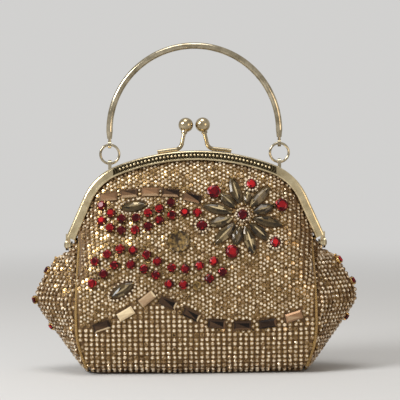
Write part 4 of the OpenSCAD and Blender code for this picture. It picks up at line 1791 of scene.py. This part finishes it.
@dataclass(frozen=True)
class Motion:
    """Ties the still pieces of the pouch to the bag; those of its front half, between the bag and the front
    frame, are fixed where they stand.
    """

    panel_start: Triple = (0.0, 0.0, 34.0 * MM)
    panel_end: Triple = (0.0, 0.0, 84.0 * MM)
    gusset_start: Triple = (65.0 * MM, -23.0 * MM, 34.9 * MM)
    gusset_end: Triple = (51.9 * MM, -36.2 * MM, 53.7 * MM)
    still: tuple[str, ...] = (
        "back_panel", "base_panel", "lining_back", "piping_back_left", "piping_back_right", "crystals_back",
        "gusset_stones", "gusset_settings",
    )
    left: tuple[str, ...] = ("gusset_left", "lining_gusset_left", "crystals_left")
    right: tuple[str, ...] = ("gusset_right", "lining_gusset_right", "crystals_right")

    def attach(self, name: str, piece: Piece) -> None:
        """Ties a still piece of the pouch to the bag, and fixes any other where it stands.

        Args:
            name: The CAD node that it stands for, or the name of its crystals.
            piece: The piece.
        """
        if name in self.still:
            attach(piece, "bag")
            return
        on_gusset = name in self.left or name in self.right
        start = Vector(self.gusset_start if on_gusset else self.panel_start)
        end = Vector(self.gusset_end if on_gusset else self.panel_end)
        if name in self.left:
            start.x = -start.x
            end.x = -end.x
        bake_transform(piece)


@dataclass(frozen=True)
class Lamp:
    """A soft square lamp that faces the bag."""

    name: str
    place: Triple
    size: float
    power: float
    colour: Triple
    target: Triple = (0.0, 0.0, 90.0 * MM)

    def build(self) -> None:
        """Adds the lamp to the scene."""
        light = bpy.data.lights.new(self.name, "AREA")
        light.size = self.size
        light.energy = self.power
        light.color = self.colour
        made = bpy.data.objects.new(self.name, light)
        made.location = self.place
        way = Vector(self.target) - Vector(self.place)
        made.rotation_euler = way.to_track_quat("-Z", "Y").to_euler()
        bpy.context.scene.collection.objects.link(made)


@dataclass(frozen=True)
class Studio:
    """Floor, lamps, world and camera."""

    frame_width: float = 0.22
    distance: float = 1.2
    elevation: float = 3.0
    roll: float = 0.6
    sensor: float = 36.0
    aim: Triple = (2.75 * MM, -8.0 * MM, 94.6 * MM)
    floor_radius: float = 4.0
    floor_sides: int = 64
    floor_colour: Triple = (0.6, 0.59, 0.575)
    far_colour: Triple = (0.64, 0.635, 0.625)
    soft_colour: Triple = (0.77, 0.755, 0.73)
    soft_strength: float = 0.5
    lamps: tuple[Lamp, ...] = (
        Lamp("key_lamp", (-0.95, -0.65, 0.75), size=0.5, power=14.5, colour=(0.96, 0.98, 1.0)),
        Lamp("fill_lamp", (0.85, -0.85, 0.25), size=0.5, power=2.4, colour=(1.0, 0.78, 0.55)),
        Lamp("top_lamp", (-0.1, -0.2, 1.15), size=0.6, power=5.5, colour=(1.0, 1.0, 1.0)),
    )

    def floor(self) -> None:
        """Makes a wide round floor."""
        shape = bmesh.new()
        bmesh.ops.create_circle(shape, cap_ends=True, segments=self.floor_sides, radius=self.floor_radius)
        finish = FloorFinish("pale_floor", self.floor_colour, self.far_colour)
        named_object("floor", mesh_from(shape, "floor"), finish.build())

    def world(self) -> bpy.types.World:
        """Makes a world that lights softly and shows the pale background.

        Returns:
            The world.
        """
        world = bpy.data.worlds.new("studio")
        world.use_nodes = True
        tree = world.node_tree
        soft = tree.nodes["Background"]
        soft.inputs["Color"].default_value = (*self.soft_colour, 1.0)
        soft.inputs["Strength"].default_value = self.soft_strength
        pale = tree.nodes.new("ShaderNodeBackground")
        pale.inputs["Color"].default_value = (*self.far_colour, 1.0)
        both = tree.nodes.new("ShaderNodeMixShader")
        tree.links.new(seen_rays(tree), both.inputs[0])
        tree.links.new(soft.outputs["Background"], both.inputs[1])
        tree.links.new(pale.outputs["Background"], both.inputs[2])
        tree.links.new(both.outputs["Shader"], tree.nodes["World Output"].inputs["Surface"])
        return world

    def camera(self) -> None:
        """Adds the camera at the photograph's angle and framing."""
        lens = bpy.data.cameras.new("camera")
        lens.sensor_width = self.sensor
        lens.lens = self.sensor * self.distance / self.frame_width
        made = bpy.data.objects.new("camera", lens)
        rise = math.radians(self.elevation)
        way = Vector((0.0, math.cos(rise), -math.sin(rise)))
        made.location = Vector(self.aim) - way * self.distance
        tilt = Quaternion((0.0, 0.0, 1.0), -math.radians(self.roll))
        made.rotation_euler = (way.to_track_quat("-Z", "Y") @ tilt).to_euler()
        bpy.context.scene.collection.objects.link(made)
        bpy.context.scene.camera = made

    def build(self) -> None:
        """Builds the stage."""
        self.floor()
        for lamp in self.lamps:
            lamp.build()
        self.camera()
        bpy.context.scene.world = self.world()
        bpy.context.scene.view_settings.view_transform = "Standard"


def main() -> None:
    """Builds the dressed bag and its stage."""
    logging.basicConfig(level=logging.INFO)
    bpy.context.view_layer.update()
    finishes = Finishes()
    Studio().build()
    stonework = StoneWork(finishes)
    stones = stonework.read()
    every_stone = [stone for group in stones.values() for stone in group]
    pouch = Pouch(finishes, every_stone).build()
    cut = stonework.build(stones)
    Metalwork(finishes).build()
    motion = Motion()
    for name, piece in {**pouch, **cut}.items():
        motion.attach(name, piece)
        LOG.info("piece %s: %d faces", piece.name, len(piece.data.polygons))


if __name__ == "__main__":
    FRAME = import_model()
    main()
